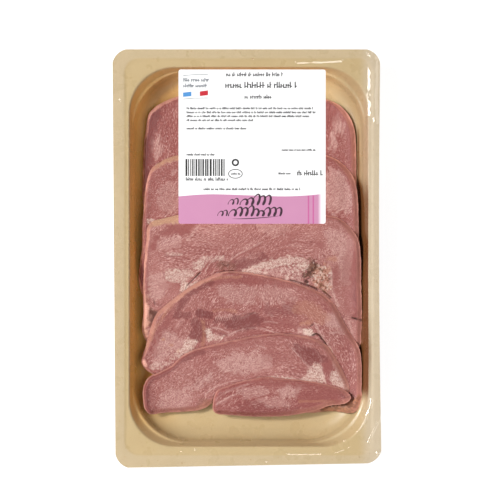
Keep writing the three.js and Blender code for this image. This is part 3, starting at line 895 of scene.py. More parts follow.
def comb(x, y, ends, teeth, seed):
    """1 on short parallel strokes set along a line, each with teeth (width, length, degrees,
    spacing)."""
    width, length, degrees, spacing = teeth
    (x0, y0), (x1, y1) = ends
    count = int(math.hypot(x1 - x0, y1 - y0) / spacing) + 1
    way = np.array([math.cos(math.radians(degrees)), math.sin(math.radians(degrees))])
    most = np.zeros(x.shape)
    for k in range(count):
        share = k / max(count - 1, 1)
        uneven = 0.7 + 0.6 * float(lattice(k, seed, 5))
        middle = np.array([x0 + (x1 - x0) * share, y0 + (y1 - y0) * share])
        reach = way * length * uneven / 2
        away = distance_to_line(x, y, np.array([middle - reach, middle + reach]))
        most = np.maximum(most, smooth(width / 2 + 0.3, max(width / 2 - 0.3, 0), away))
    return most


MARK_SHAPES = ("area", "line", "spot", "flecks", "comb")
WAYS = (0, 45, 90, 135)  # the directions in degrees that the finest fibres are mixed from

# The colours of the marks, but for those called dark, painted shade in gaps, slits and crevices, and
# skin, which are mixed in after the rest
MARK_COLOURS = {
    "pale": (204, 164, 155), "rose": (142, 76, 72), "mauve": (126, 74, 73), "maroon": (114, 54, 53),
    "tan": (186, 132, 104), "fat": (218, 192, 178), "crust": (178, 118, 86), "brown": (104, 64, 42),
}

# How much paler than the rest each slice is
TONES = {
    "slice_1": -0.5, "slice_2": -0.4, "slice_3": 0.15, "slice_4": -0.1, "slice_5": 0, "slice_6": -0.6,
}

# The way the fibres run on each slice, as (x, y, degrees, length from 0 to 1, strength)
FLOWS = {
    "slice_1": [
        (-51, 79, 80, 0.9, 1), (-60, 79, 75, 0.6, 0.8), (55, 82, 70, 0.7, 1), (62, 67, 85, 0.3, 0.8),
    ],
    "slice_2": [
        (-51, 39, 10, 0.3, 1), (-57, 33, 60, 0.4, 1), (55, 42, 100, 0.2, 1), (58, 30, 30, 0.5, 1),
    ],
    "slice_3": [
        (-48, 16, 45, 0.7, 1), (-29, 7, -5, 1, 1), (-48, -4, 0, 0.9, 1), (-23, -6, 60, 1, 1),
        (-1, 2, 32, 1, 1.1), (15, 9, 30, 0.9, 1), (33, 7, 0, 1, 1), (21, 19, 60, 0.1, 1),
        (55, 11, 45, 0.15, 1), (61, -20, 90, 0.2, 0.8), (-51, -11, 10, 0.3, 1), (-51, -23, 30, 0.6, 1),
        (24, -11, 0, 0, 1.5), (46, -11, 0, 0, 1.5), (69, -10, 90, 0.5, 0.3), (-63, 0, 90, 0.3, 0.5),
    ],
    "slice_4": [
        (-38, -32, 65, 1, 1), (-29, -39, 84, 0.9, 1), (-10, -23, 30, 0.15, 1), (-7, -26, 60, 0.2, 1),
        (15, -23, 90, 0.5, 1), (-13, -37, 70, 1, 1), (-1, -39, 25, 1, 1), (15, -42, -5, 1, 1),
        (27, -32, -10, 0.9, 1), (42, -31, -35, 0.8, 0.4), (-54, -57, 30, 0.2, 1.2),
        (64, -70, 90, 0.7, 0.35), (58, -39, -45, 0.5, 0.5), (61, -93, 10, 0.9, 1),
        (-55, -40, 55, 0.3, 0.6),
    ],
    "slice_5": [
        (-54, -82, 30, 0.15, 1.1), (-35, -88, 40, 0.4, 1.1), (-20, -82, 35, 1, 1),
        (-4, -73, 10, 0.6, 1), (-7, -65, 60, 0.1, 1), (18, -67, 0, 0.3, 1), (33, -71, -12, 1, 1.1),
        (36, -61, -47, 1, 1.1), (51, -68, 85, 1, 0.7), (58, -76, -60, 0.6, 1),
    ],
    "slice_6": [
        (-10, -87, 32, 1, 1.1), (7, -85, 15, 0.6, 1), (21, -87, 5, 0.5, 1), (46, -87, 0, 0.6, 0.35),
        (-4, -96, 10, 0.5, 0.8),
    ],
}

# What else shows on each slice, as its shape, its colour, how strong it is, its sizes in
# millimetres, and its places in the photograph's pixels. The sizes are a line's width, a
# spot's half length, half width and degrees, the size of flecks and the share that they cover, and
# the width, length, degrees and spacing of a comb's strokes
MARKS = {
    # On slice 1, the mauve area along its left edge is partly the meat's own colour and partly painted
    # shadow of the tray's left wall
    "slice_1": """
    area mauve 0.6 143,120 149,110 158,104 161,112 157,126 154,140 152,156 147,175 142,190 141,150
    area rose 0.4 152,104 163,98 178,95 178,104 166,108 158,113
    area pale 0.5 153,136 158,134 161,142 160,152 155,158 152,150
    line rose 0.35 1.6 164,116 161,130 160,142
    line rose 0.3 1.6 171,112 169,130 170,146
    area rose 0.5 326,98 334,99 342,106 340,116 333,122 326,122
    area pale 0.5 337,115 344,117 346,126 342,132 336,128
    line pale 0.75 2.2 331,147 334,138 333,131
    line pale 0.6 2.0 335,150 337,142 335,136
    area rose 0.4 346,112 353,118 356,135 356,165 349,160 348,140
    line rose 0.5 1.6 329,152 336,150 341,153
    line rose 0.35 1.6 340,132 344,146 346,158
    """,
    # On slice 2, the maroon area from 137.5,262 to 140,294, where its edge shows beside the tray's
    # left wall, is the meat's dark red with painted shade on it
    "slice_2": """
    spot fat 1.0 2.2 2.4 60 150,221.5
    spot fat 0.8 1.6 1.2 0 152.5,225
    spot pale 0.6 2.4 1.6 30 173.5,171
    area rose 0.35 151,180 158,172 168,167 178,163 178,170 164,176 156,184 152,194
    area pale 0.3 158,188 170,182 178,184 178,208 166,212 158,206
    line brown 0.8 0.9 153.5,229.5 156,226 161,222.5
    line rose 0.35 1.4 148,196 147,210 148,224
    area maroon 0.55 137.5,262 140,258 141.5,268 141.5,285 140,294 138,288
    area rose 0.3 326,155 338,157 350,166 357,178 360,196 355,190 348,176 338,165 326,162
    line pale 0.5 1.8 331,209 338,204 344,203
    line pale 0.4 1.6 334,214 340,210 346,209
    line fat 0.8 0.9 357.5,226 360,229 361,232
    area pale 0.5 329,168 340,171 350,184 354,204 345,212 328,208
    """,
    # On slice 3, the full-strength fat spots at 266,272.5, 293,271.5, 293.5,265.5, 317.7,265.7,
    # 307.8,284.6 and 326.8,284.6 are painted glints, white highlights; the maroon area at 140.5,341 is
    # painted shade on the slice's end
    "slice_3": """
    area rose 0.75 176,222 186,223 196,223 191,230 184,235 173,233 162,237 155,246 151,250 150,246
        155,236 163,229
    line pale 0.6 1.6 198,226 193,233 187,240
    area pale 0.35 156,240 166,236 178,237 181,243 172,249 158,250
    line rose 0.6 0.7 182,243 189,246.5 198,247.5 208,248.5 217,250
    spot fat 0.55 5.2 1.0 2 173.5,254
    line mauve 0.7 0.7 166,256 172,256.5 179,255.5
    area fat 0.8 195,262 199,258 206,257.5 204,264 202,270 193,270 194,266
    area fat 0.5 204,257 214,257.5 223,256.5 223,259 214,261 205,262
    line rose 0.75 0.9 203,271 205,267 208,263
    line rose 0.7 0.9 207,271.5 210,267 212,263
    line rose 0.6 0.9 211,271 214,267 216,264
    line pale 0.6 0.6 205,271 208,266 210.5,262.5
    area brown 0.4 219,263 225,261 232,262 235,267 234,271 226,271.5 219,269
    line dark 0.5 0.6 222,263.5 226,266 229,264.5
    line dark 0.8 0.6 223.5,271.2 228,271.8 233,271
    line dark 0.5 0.5 214,272.6 220,272 225,271
    line dark 0.95 0.55 200,272.5 195.5,277 191,281.5 186.5,286
    line brown 0.8 1.2 198,273.5 195.5,277
    line dark 0.5 0.5 186.5,286 184,291
    area fat 0.7 166,271 178,269 190,271 193,274 188,280 180,283 170,282 163,277
    area fat 0.9 182,283 188,283 192,284 196,280 198,283 188,291 181,293 180,288
    area pale 0.5 150,276 162,274 168,286 165,296 155,302 148,300
    area rose 0.35 160,284 172,283 180,286 176,290 164,291 158,290
    line mauve 0.55 0.8 154,303 159,306 163,302
    line dark 0.45 0.7 153,300 154,305
    area maroon 0.55 234,262 240,259.5 250,257 262,254 266,257 258,263 250,266.5 242,270 233,270
    line pale 0.55 0.9 226,264 235,256 246,250.5 262,242
    line rose 0.6 1.1 229,263 238,256.5 250,250.5 262,245
    area fat 0.85 243,271 255,265 270,260.3 286,256.3 294,256.3 298,259 290,264 284,267 274,267.5
        262,271 255,274.5 243,274
    area pale 0.6 262,271 275,268 290,267 301,268 303,276 300,283 288,280 272,277 260,276
    spot fat 1.0 1.0 1.3 80 266,272.5
    spot fat 1.0 0.7 0.8 0 293,271.5
    spot fat 1.0 0.6 0.6 0 293.5,265.5
    spot rose 0.6 0.8 0.6 0 289,277
    spot rose 0.6 0.7 0.8 0 297,279.5
    area fat 0.65 296,257 303,258 308,262 308,269 303,272 298,266
    area brown 0.75 308,260 314,260.5 318,264 316,268 312.5,272 310,278 305.5,278 304,274.5 308.5,270
        311,265
    flecks dark 0.7 1.0 0.3 308,259 319,262 316,270 311,279 303,280 303,274 309,268
    flecks fat 0.9 0.9 0.3 284,266 296,261 309,260 310,270 303,279 290,281 280,276
    flecks rose 0.7 0.9 0.25 268,268 296,262 306,266 303,279 290,281 268,276
    flecks fat 0.9 1.1 0.34 310,262 322,263 330,268 332,282 332,293 320,288 311,281
    flecks brown 0.8 1.1 0.2 312,268 322,265 329,270 331,282 330,292 319,288 311,281
    spot dark 0.7 0.8 0.5 30 317.5,263
    line dark 0.6 0.6 316,268 313,272 310,277
    area tan 0.5 312,267 320,264 329,268 331,280 332,291 326,291 318,287 312,281 313,273
    spot fat 1.0 0.7 0.7 0 317.7,265.7
    spot fat 0.8 1.5 0.9 10 324,267.5
    spot fat 0.8 1.3 0.9 30 318,275.5
    spot fat 0.9 1.0 1.0 0 326.8,284.6
    spot fat 0.6 1.2 0.8 20 321,270.5
    spot brown 0.7 1.0 0.8 0 323,280
    spot brown 0.6 0.8 0.7 0 325,275
    spot brown 0.7 1.0 0.7 50 322,284.5
    line tan 0.6 1.4 315,282 320,284.5 325,289
    line dark 0.9 0.7 291,280.3 298,281.8 305,284.5 312,287 318,289.6
    spot dark 0.9 1.4 0.9 -15 307,282
    line dark 0.9 1.0 305,283.5 311,286.3 317.5,289
    spot fat 1.0 0.8 0.8 0 307.8,284.6
    line dark 0.7 0.5 324,291.5 328,294 332,298
    line brown 0.7 1.4 320,288 326,293 331,298
    line pale 0.8 1.5 328.5,266 331.3,272 331.8,281 332.3,288 335,297 339,306
    area rose 0.5 334,265 338,266 338,280 340,292 337,296 334,285
    area tan 0.45 327,259 333,257.5 337,259 335,262 329,262
    area rose 0.35 346,216 357,222 364,240 364,318 350,318 343,296 343,262 348,240
    area rose 0.7 356,222 363,240 366,280 364,318 356,318 351,296 351,262 356,240
    area maroon 0.6 359,234 365,250 366,316 360,317 356,300 358,270
    area pale 0.4 326,232 338,230 350,238 353,252 345,262 336,256 328,244
    area pale 0.3 255,222 272,222 290,222 292,230 276,235 258,232
    area pale 0.3 340,256 350,254 352,275 350,290 342,284 341,270
    line rose 0.55 0.9 288,243 298,241.5 308,243.5 316,242
    spot rose 0.5 2.4 2.2 0 321,244.5
    area rose 0.35 280,230 292,231 300,234 296,237 284,236
    line maroon 0.7 0.8 255,224 255.6,229
    line dark 1.0 1.1 353,318.3 357,319.3 363,321
    spot dark 0.8 0.9 1.8 80 362.2,349.5
    line pale 0.5 1.4 349,322 351.5,328 353.5,334
    area tan 0.3 141,295 145,290 148,298 147,308 142,306
    area skin 1.0 141.5,302 146,303 148.5,308 149.5,314 148.5,322 146.5,330 144,338 141.5,338
    area dark 0.6 149,311 152,312.5 155.5,315.5 154,319 151.5,323 149.5,322
    area brown 0.6 147.5,306 151,309 156,314 154,322 149.5,328 147.5,320
    area maroon 0.9 140.5,341 143,340 145.5,345 143.5,350 140.5,349
    """,
    "slice_4": """
    line tan 0.45 1.8 150,341 155,329 162,318 172,305 184,294 196,285 208,280.5 222,277.5 240,277
    line maroon 0.6 4.2 178,309 184,300 191,292.5 200,287 210,282.8
    line rose 0.6 4.0 210,282.5 222,280.5 236,280.3 250,281 262,281.5
    line rose 0.5 4.4 150,350 158,335 166,323 174,313
    line rose 0.45 3.2 262,281.5 276,283 292,287
    area pale 0.35 215,290 230,285 250,286 258,292 256,302 240,304 224,300
    area pale 0.3 258,288 275,287 290,292 298,300 290,304 272,303 260,300
    line tan 0.35 2.0 214,311 224,310 236,312
    comb maroon 1.0 0.65 4.3 84 0.84 196,313 212,316
    comb pale 0.75 0.5 3.4 66 1.2 216,318 238,317.5
    comb maroon 0.9 0.6 3.1 70 1.2 214,321 236,320
    comb maroon 0.75 0.6 4 68 0.75 174,315 190,316
    area maroon 0.65 222,321 236,317 248,313.5 258,314 262,322 254,328 240,331 228,330
    line pale 0.55 0.8 241,319 248,316 255,313
    line dark 0.45 0.7 250,314.5 255,312.5
    area maroon 0.6 192,321 200,320 206,324 206.5,334 203,340 198,343 192,339 190,330
    line tan 0.4 2.4 203,322 204,333 202,346
    line rose 0.6 2.4 203,336 203,346 206,350
    area fat 1.0 205.5,329 209.5,327.5 211.5,332 216,336 223,336.5 222,338.5 215,340 208,342 206,337
    line pale 0.95 0.7 212.5,328.3 219,329 225,331.5 230,334
    line rose 0.6 1.0 212,332.5 216,331.5 219,334
    line mauve 0.5 1.4 220,334 227,336
    line pale 0.8 0.9 228,336 235,332.5 243,329.7 252,328.4 262,329 270,331.5 280,334.5 292,336 304,336
    line rose 0.5 2.2 228,340 240,335.5 254,333 266,334
    area fat 0.95 186,340 190,338.5 194,341 198.5,343 195,347 188,350.5 183,348 184,343
    area fat 0.7 180,349 188,347 194,349 184,355 176,359 173,357
    spot mauve 0.5 1.5 0.9 0 190,350
    area pale 0.5 150,352 158,338 168,331 178,335 184,344 176,352 166,358 154,366
    area fat 0.5 148,368 156,369.5 165,369 172,362.5 176,358 171,358 162,364 152,364
    area rose 0.45 153,346 157,348 158,356 154,360 151,354
    spot tan 0.6 1.4 1.0 0 178,352
    spot tan 0.6 1.2 0.9 0 171,346
    spot tan 0.6 1.3 0.9 20 163,340
    spot skin 1.0 1.7 2.2 20 143.5,365
    area rose 0.35 300,288 312,291.5 325,299 334,309 333,315 322,307 310,298
    area tan 0.3 296,300 308,301 322,310 330,320 322,324 306,318 294,312
    area mauve 0.4 284,304 294,304 298,310 296,316 286,316 278,311
    line pale 0.95 0.9 264.5,322.3 270,322 277.5,323.4
    line pale 0.8 0.7 266,316.5 269,315.6 273,316
    area rose 0.5 250,318 262,317 278,318 292,322 300,327 290,331 270,328 254,326
    area mauve 0.4 262,307 276,306 284,311 276,315 264,314
    area tan 0.6 302,321 307,319 314,320 313,325 306,327 301,325
    spot fat 2.2 3.2 2.0 -5 308.6,333
    area pale 0.6 296,331 300,328 306,330 304,335 298,336
    line dark 0.7 0.6 311,326.5 313.5,324.5
    line dark 0.9 1.1 313.5,335.8 317,334.2 320,336 323,340
    line dark 0.9 0.9 321,337 324,341 327,345
    line pale 0.65 1.1 315,323.5 319,330.5 323.5,337.5 329,345 333,353
    line tan 0.4 1.6 330,349 336,360 339,372
    area pale 0.55 324,314 334,311 344,319 346,330 332,330
    line pale 0.55 1.3 330,333.5 338,333 346,335
    area crust 0.9 326,406 340,402 350,402 362,397 363,408 354,417 340,417 322,417
    flecks brown 0.8 1.0 0.3 324,408 340,402 350,402 362,397 363,410 354,417 322,417
    flecks pale 0.9 1.2 0.25 324,408 340,402 350,402 362,397 363,410 354,417 322,417
    spot fat 1.0 1.7 0.8 3 333.8,408.6
    line dark 0.9 1.1 322,412.4 326,410.6 330.5,407.5
    line brown 0.7 1.2 340,411 346,407 353,406
    line brown 0.6 1.0 345,414 352,411 359,404
    """,
    "slice_5": """
    line maroon 0.5 3.4 146,386 150,380.5 160,376 170,370 179,363 190,356.5 202,352.5
    line rose 0.45 2.6 202,352.5 214,349 226,346.5 240,345 256,343.5 274,345
    line maroon 0.5 3.4 145.8,388 145,396 145.5,406 147,413
    area pale 0.5 184,389 194,384 204,378 211,374 212,377 206,384 196,389 186,392
    area pale 0.35 160,395 172,390 186,394 190,404 180,410 164,411 156,404
    area pale 0.5 214,363 230,356 250,354 268,357 270,366 254,373 232,374 218,370
    line pale 0.7 0.7 204,397 210,391.5 218,387 227,383.5 238,381.3 247,381
    line pale 0.55 0.7 222,390 232,385.5 242,383.5 252,380
    line maroon 0.6 0.8 213,397.5 219,391.5 226,388
    area brown 0.3 195,405 204,401 212,398 213,404 206,410 196,411
    area tan 0.45 200,404 208,401 212,403 207,409 200,410
    line pale 0.6 0.7 255,344 259,346.5 265,348
    area maroon 0.6 291,344.5 300,345 312,350 323,353 327,358 319,362 308,364.5 300,355
    line pale 0.6 0.8 292,349 299,356 306,363 312,369
    line maroon 0.6 0.9 294.5,348 302,356 309,363.5 316.5,370.5
    line rose 0.6 0.9 304,349 312,357 318,363
    area rose 0.7 324,355 330,356.5 333,365 331.5,374 329,382 326,376 323.5,366
    line pale 0.7 0.8 321,360 322.5,370 324.5,380 327,386
    area fat 0.8 309,370 314,367.5 318,361 321,366 323,374 324.5,384 312,383 302,380.5 307,376
    line pale 0.6 0.8 303,362 309,368 313,373
    area fat 0.75 333,371 339,373 345,378.5 349.5,387 351.5,392 342,389 333,385 329.5,381 331.5,375
    spot fat 1.0 0.9 0.8 0 341.5,386.5
    spot fat 1.0 1.0 0.7 0 348,390
    line tan 0.75 3.0 326,346 332,353 337,361 341,370 345.5,379
    line fat 0.55 1.4 334,362 336,368 340,374
    line maroon 0.55 0.9 290,374 300,377.3 303,379
    line rose 0.6 0.9 291,370 300,372.5 307,373.5
    line rose 0.55 0.9 296,366 303,369.5 309,370.5
    area fat 0.95 250,384.5 256,379.5 264,377.5 276,377.2 290,378.8 303,381 312,383.5 296,383 280,381.5
        268,383 258,385
    area pale 0.45 251,352 256,350 260,354 257,359 251,358
    area rose 0.3 262,355 276,352 286,356 280,362 266,362
    line dark 0.9 1.0 213.2,401.5 212.3,406 210,409.5 205,411.5
    line brown 0.8 1.4 211.5,404 209,408.5 203,411.5
    """,
    "slice_6": """
    area rose 0.5 258,386 272,383 290,381.5 306,383.5 322,386 342,392 338,395 318,392 300,389 280,386
        262,389
    area pale 0.55 278,390 284,386 294,386 300,389 297,396 288,399 279,399
    area pale 0.4 238,392 252,388 266,389 270,395 258,399 244,400
    area pale 0.35 262,399 276,397 288,401 290,407 276,408 264,405
    line pale 0.6 0.8 216,405 226,399.5 238,393.5 250,388.5
    line pale 0.55 0.8 215,400 224,394.5 236,388.5 249,384.5
    area maroon 0.35 240,404 256,401 272,408 296,409 300,414 270,416.5 240,415.5
    area rose 0.55 296,394 304,391 318,392 334,395 344,399 338,404 322,407 306,411 298,408
    area maroon 0.6 342,394 348,393 351,397 348,401 343,400 341,397
    line tan 0.35 1.6 300,402 316,402 334,402
    line rose 0.5 1.6 228,414 226,406 230,400
    """,
}


def marks_on(name):
    """A slice's marks, each as its shape, colour, strength, sizes and places."""
    marks = []
    for word in MARKS[name].split():
        if word in MARK_SHAPES:
            marks.append([word])
        else:
            marks[-1].append(word)
    for shape, what, strength, *rest in marks:
        sizes = [float(word) for word in rest if "," not in word]
        places = [[float(number) for number in word.split(",")] for word in rest if "," in word]
        yield shape, what, float(strength), sizes, places


def drawn(x, y, shape, what, sizes, places, seed):
    """How much of each place a mark covers, from 0 to 1."""
    points = from_photo(places)
    margin = 8 if shape == "comb" else 6
    near = (x > points[:, 0].min() - margin) & (x < points[:, 0].max() + margin)
    near &= (y > points[:, 1].min() - margin) & (y < points[:, 1].max() + margin)
    found = np.zeros(x.shape)
    px, py = x[near], y[near]
    if shape == "spot":
        found[near] = spot(px, py, points[0], sizes, seed)
    elif shape == "line":
        found[near] = line(px, py, points, sizes[0], seed)
    elif shape == "area":
        found[near] = area(px, py, points, 1.0 if what in ("fat", "dark", "crust") else 1.6, seed)
    elif shape == "flecks":
        found[near] = flecks(px, py, points, sizes, seed)
    else:
        found[near] = comb(px, py, points, sizes, seed)
    return found


def slice_looks(name, number, x, y, depth, cover):
    """What colours each place on a slice: a dictionary of numbers from 0 to 1. depth is how far in
    a place is from the slice's edge, and cover how far it is under the next slices."""
    angle, length, strength = blended(x, y, FLOWS[name])
    at = lambda px, py: blended(px, py, FLOWS[name])[0]
    long_fibres = streaks(x, y, at, LONG_FIBRES + number, 4.5)
    short_fibres = streaks(x, y, at, SHORT_FIBRES + number, 0.9)
    where = smooth(0.35, 0.65, length + 0.7 * (clouds(x, y, 9, WHERE_LONG + number, 3) - 0.5))
    fibre = 0.5 + (long_fibres * where + short_fibres * (1 - where) - 0.5) * strength
    tone = 0.5 + TONES[name] + 1.1 * (clouds(x, y, 20, TONE + number, 4) - 0.5)
    looks = {what: np.zeros(x.shape) for what in [*MARK_COLOURS, "dark", "skin"]}
    for seed, (shape, what, amount, sizes, places) in enumerate(marks_on(name)):
        share = drawn(x, y, shape, what, sizes, places, 1000 * number + seed)
        if shape == "area":
            share = np.clip(share + 6 * share * (1 - share) * (fibre - 0.5), 0, 1)
        looks[what] = np.maximum(looks[what], amount * share)
    rim = smooth(5.0, 1.2, depth + 2 * (clouds(x, y, 9, RIM + number, 3) - 0.5))
    looks["rose"] = np.maximum(looks["rose"], 0.4 * rim)
    # Painted shade: a faint dark line on a slice just beside the edge of a slice over it
    crevice = smooth(-1.0, -0.1, cover) * smooth(0.35, 0.6, clouds(x, y, 5, CREVICE + number, 3))
    looks["dark"] = np.maximum(looks["dark"], 0.08 * crevice)
    looks |= {"fibre": np.clip(fibre, 0, 1), "tone": np.clip(tone, 0, 1), "woven": where}
    for degrees in WAYS:
        looks[f"way_{degrees}"] = np.maximum(np.cos(2 * (angle - math.radians(degrees))), 0) ** 2
    return looks


def skin_shows(x, y, width, number):
    """How much of the skin is left on a slice's edge: most where it is thin or widest."""
    left = 0.65 + 0.35 * smooth(0.3, 0.6, clouds(x, y, 5, WORN_SKIN + number, 3))
    worn = smooth(1.2, 2.0, width) * smooth(3.4, 2.6, width)
    return np.maximum(left, smooth(2.6, 3.4, width)) * (1 - 0.4 * worn)


def add_skin(looks, name, number, x, y, depth, edge):
    """Adds the skin on a slice's edge to its looks, and painted light that makes the shaded slope of
    an edge on its right paler.
    """
    width = edge.nearest(x, y, edge.skin_width)
    wide = smooth(1.7, 3.2, width)
    frayed = 1 + 0.9 * (clouds(x, y, 2.4, SKIN_EDGE + number, 3) - 0.5)
    band = smooth(0.2 + 0.9 * wide, -0.3 - 0.6 * wide, depth - width * frayed)
    thin = THIN_SKIN.get(name, 1)
    band *= thin + (1 - thin) * wide
    looks["skin"] = np.maximum(looks["skin"], band * skin_shows(x, y, width, number))
    looks["skin"] *= 1 - 0.7 * looks["crust"]
    looks["beige"] = wide
    # Painted light on the shaded slope of an edge that faces right
    reach = EDGE_SLOPE + SHADED_SLOPE * edge.nearest(x, y, edge.shaded)
    right = edge.nearest(x, y, smooth(0.1, -0.5, edge.inward[:, 0]))
    looks["slope"] = right * smooth(reach + 0.5, reach - 0.7, depth)
    looks["slope"] *= 1 - 0.9 * looks["crust"]


class Edge:
    """A slice's edge where it lies down: its places, the way in from each, the widths of its skin
    and of its slope, and how far it faces away from the light."""

    def __init__(self, name, number):
        outline = spline(OUTLINES[name], EDGE_STEP)
        places, self.skin_width = outline[:, :2], outline[:, 2]
        self.inward = left_of(np.roll(places, -2, axis=0) - np.roll(places, 2, axis=0))
        self.shaded = smooth(0.1, -0.5, -self.inward @ LIGHT_WAY)
        self.slope = np.maximum(self.skin_width, EDGE_SLOPE + SHADED_SLOPE * self.shaded)
        self.along = np.arange(len(places)) * EDGE_STEP
        ragged = 0.35 * (clouds(self.along, 0 * self.along, 3, RAGGED + number, 3) - 0.5)
        self.low = places + self.inward * ragged[:, None]

    def moved_in(self, distance):
        return self.low + self.inward * np.reshape(distance, (-1, 1))

    def nearest(self, x, y, values):
        """The edge's value at its point nearest to each place."""
        found = np.zeros(x.shape)
        nearest = np.full(x.shape, 1e9)
        for (edge_x, edge_y), value in zip(self.low[::3], values[::3]):
            away = (x - edge_x) ** 2 + (y - edge_y) ** 2
            closer = away < nearest
            nearest[closer] = away[closer]
            found[closer] = value
        return found

    def side_rings(self, number):
        """The rings down a slice's side below its rim, each with its share of the thickness."""
        rings = []
        for share, up in SIDE_PROFILE[-2::-1]:
            level = 9 * share + 0 * self.along
            bump = 0.18 * (clouds(self.along, level, 1.6, SIDE + number, 2) - 0.5)
            rings.append((self.moved_in(self.slope * share + bump * (0.3 + self.slope / 3)), up))
        return rings


def under_slices(x, y, covers):
    """How far each place is under the next slices, and below 0 beside them."""
    if not covers:
        return np.full(len(x), FAR_BESIDE)
    return np.max([depth_inside(x, y, cover) for cover in covers], axis=0)


def upper_points(rim, covers):
    """Points inside a slice's rim, further apart where the label or the next slices hide them."""

    def hidden(points):
        return under_slices(points[:, 0], points[:, 1], covers) > OVERLAP

    def under_label(points):
        label_x = np.abs(points[:, 0] - LABEL_X) - LABEL_WIDTH / 2
        label_y = np.abs(points[:, 1] - LABEL_Y) - LABEL_LENGTH / 2
        return np.maximum(label_x, label_y) < -UNDER_LABEL_MARGIN

    fine = grid_inside(rim, FINE, 0.3)
    middle = grid_inside(rim, UNDER_LABEL, 0.6)
    coarse = grid_inside(rim, HIDDEN, 2.0)
    fine = fine[~hidden(fine) & ~under_label(fine)]
    middle = middle[under_label(middle) & ~hidden(middle)]
    return np.vstack([fine, middle, coarse[hidden(coarse)]])


def slice_piece(name, number, support, covers):
    """Builds one slice on its support, and returns the field that its upper face makes."""
    edge = Edge(name, number)
    thickness = THICKNESS[name]
    rim = edge.moved_in(edge.slope + 0.25)
    places, faces, went = triangulated(rim, upper_points(rim, covers))
    sides = edge.side_rings(number)
    x, y = np.vstack([places, *(flat for flat, _ in sides)]).T
    upper = len(places)
    depth = depth_inside(x, y, edge.low)
    cover = np.full(len(x), FAR_BESIDE)
    cover[:upper] = under_slices(x[:upper], y[:upper], covers)
    looks = slice_looks(name, number, x, y, depth, cover)
    bottom_at = lambda points: support.at(points[:, 0], points[:, 1]) + CLING

    fibre, dark = looks["fibre"][:upper], looks["dark"][:upper]
    lumps = 0.25 * (clouds(x[:upper], y[:upper], 18, RELIEF + number, 3) - 0.5)
    relief = lumps + 0.1 * (fibre - 0.5) - 0.5 * dark
    top = bottom_at(places) + thickness + relief * smooth(0, 1.5, depth[:upper])
    points = [np.column_stack([places, top])]
    previous, start = went, upper
    for flat, up in sides:
        points.append(np.column_stack([flat, bottom_at(flat) + up * thickness]))
        current = list(range(start, start + len(flat)))
        faces += band_between(previous, current)
        previous = current
        start += len(flat)
    base = edge.moved_in(0.12)
    base_places, base_faces, base_went = triangulated(base, grid_inside(base, 6.0, 3.0))
    points.append(np.column_stack([base_places, bottom_at(base_places)]))
    faces += [tuple(start + i for i in reversed(face)) for face in base_faces]
    faces += band_between(previous, [start + i for i in base_went])
    piece = mesh_object(name + "_meat", np.vstack(points), faces, materials=[MEAT])

    add_skin(looks, name, number, x, y, depth, edge)
    unseen = np.zeros(len(base_places))
    for key, values in looks.items():
        set_attribute(piece, key, np.r_[values, unseen])
    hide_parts(name)
    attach(piece, "root")
    return draped(support, edge.low, thickness)


def draped(support, low, thickness):
    """The field over a slice: its upper face, which falls to the support beside the slice."""
    x, y = Field.places()
    past = np.maximum(-depth_inside(x, y, low), 0)
    share = 1 - smooth(DRAPE_HOLD, DRAPE_HOLD + DRAPE_FALL, past)
    return Field(support.values + (CLING + thickness) * share)


def slice_pieces():
    support = cradle()
    names = list(OUTLINES)
    for number, name in enumerate(names, 1):
        covers = [spline(OUTLINES[other], 2.0)[:, :2] for other in names[number:]]
        support = slice_piece(name, number, support, covers)


# Film


# The film's folds, as (half width, steepness, places in the photograph's pixels), and its small
# bumps, as (radius, steepness, place)
FOLDS = [
    (2.4, 0.8, [(370.3, 49), (371.2, 70), (371, 92), (371.6, 114)]),
    (2.0, 0.95, [(374.8, 56), (375.2, 74), (374.6, 96), (375.6, 122)]),
    (2.4, 0.25, [(373.8, 128), (374, 180), (373.6, 240), (373.8, 300), (373, 345)]),
    (1.3, 0.85, [(372, 399), (370.4, 408), (366.6, 416), (362.6, 424), (357, 430.5)]),
    (1.0, 0.9, [(349, 446.5), (343, 449.5), (335, 451.5)]),
    (1.0, 1.0, [(380.4, 418), (374, 430), (368.4, 442)]),
    (1.5, 0.85, [(361, 49.5), (366, 51.5), (371, 55)]),
    (1.6, 1.0, [(297, 62), (308, 61.4), (318, 61), (328, 60.6), (341, 60)]),
    (0.9, 1.1, [(288, 453.2), (304, 453.6), (321, 453.2)]),
    (1.0, 0.8, [(144, 67), (148, 65), (153, 63.5)]),
    (0.9, 0.75, [(353, 75), (361, 81), (366, 89), (368.5, 98)]),
]
BUMPS = [
    (1.8, 1.2, (378, 453)), (1.2, 1.0, (344, 440)), (1.0, 1.0, (195, 449)), (1.0, 1.0, (266, 461)),
    (1.0, 1.0, (376.5, 61)), (0.9, 1.0, (182, 452)), (1.0, 1.0, (120.5, 100)), (0.9, 1.0, (254, 60)),
]
FOLD_SLOPE = 0.37  # how steep a fold's sides are where its steepness is 1


def fold_line(points):
    """The middle of a fold, at even distances."""
    return spline(from_photo(points), 0.8, closed=False)


def crest(away, half_width, steepness):
    """The height of a fold or bump at a distance from its middle."""
    share = away / half_width
    return FOLD_SLOPE * steepness * half_width * np.maximum(1.01 - np.sqrt(share**2 + 0.02), 0)


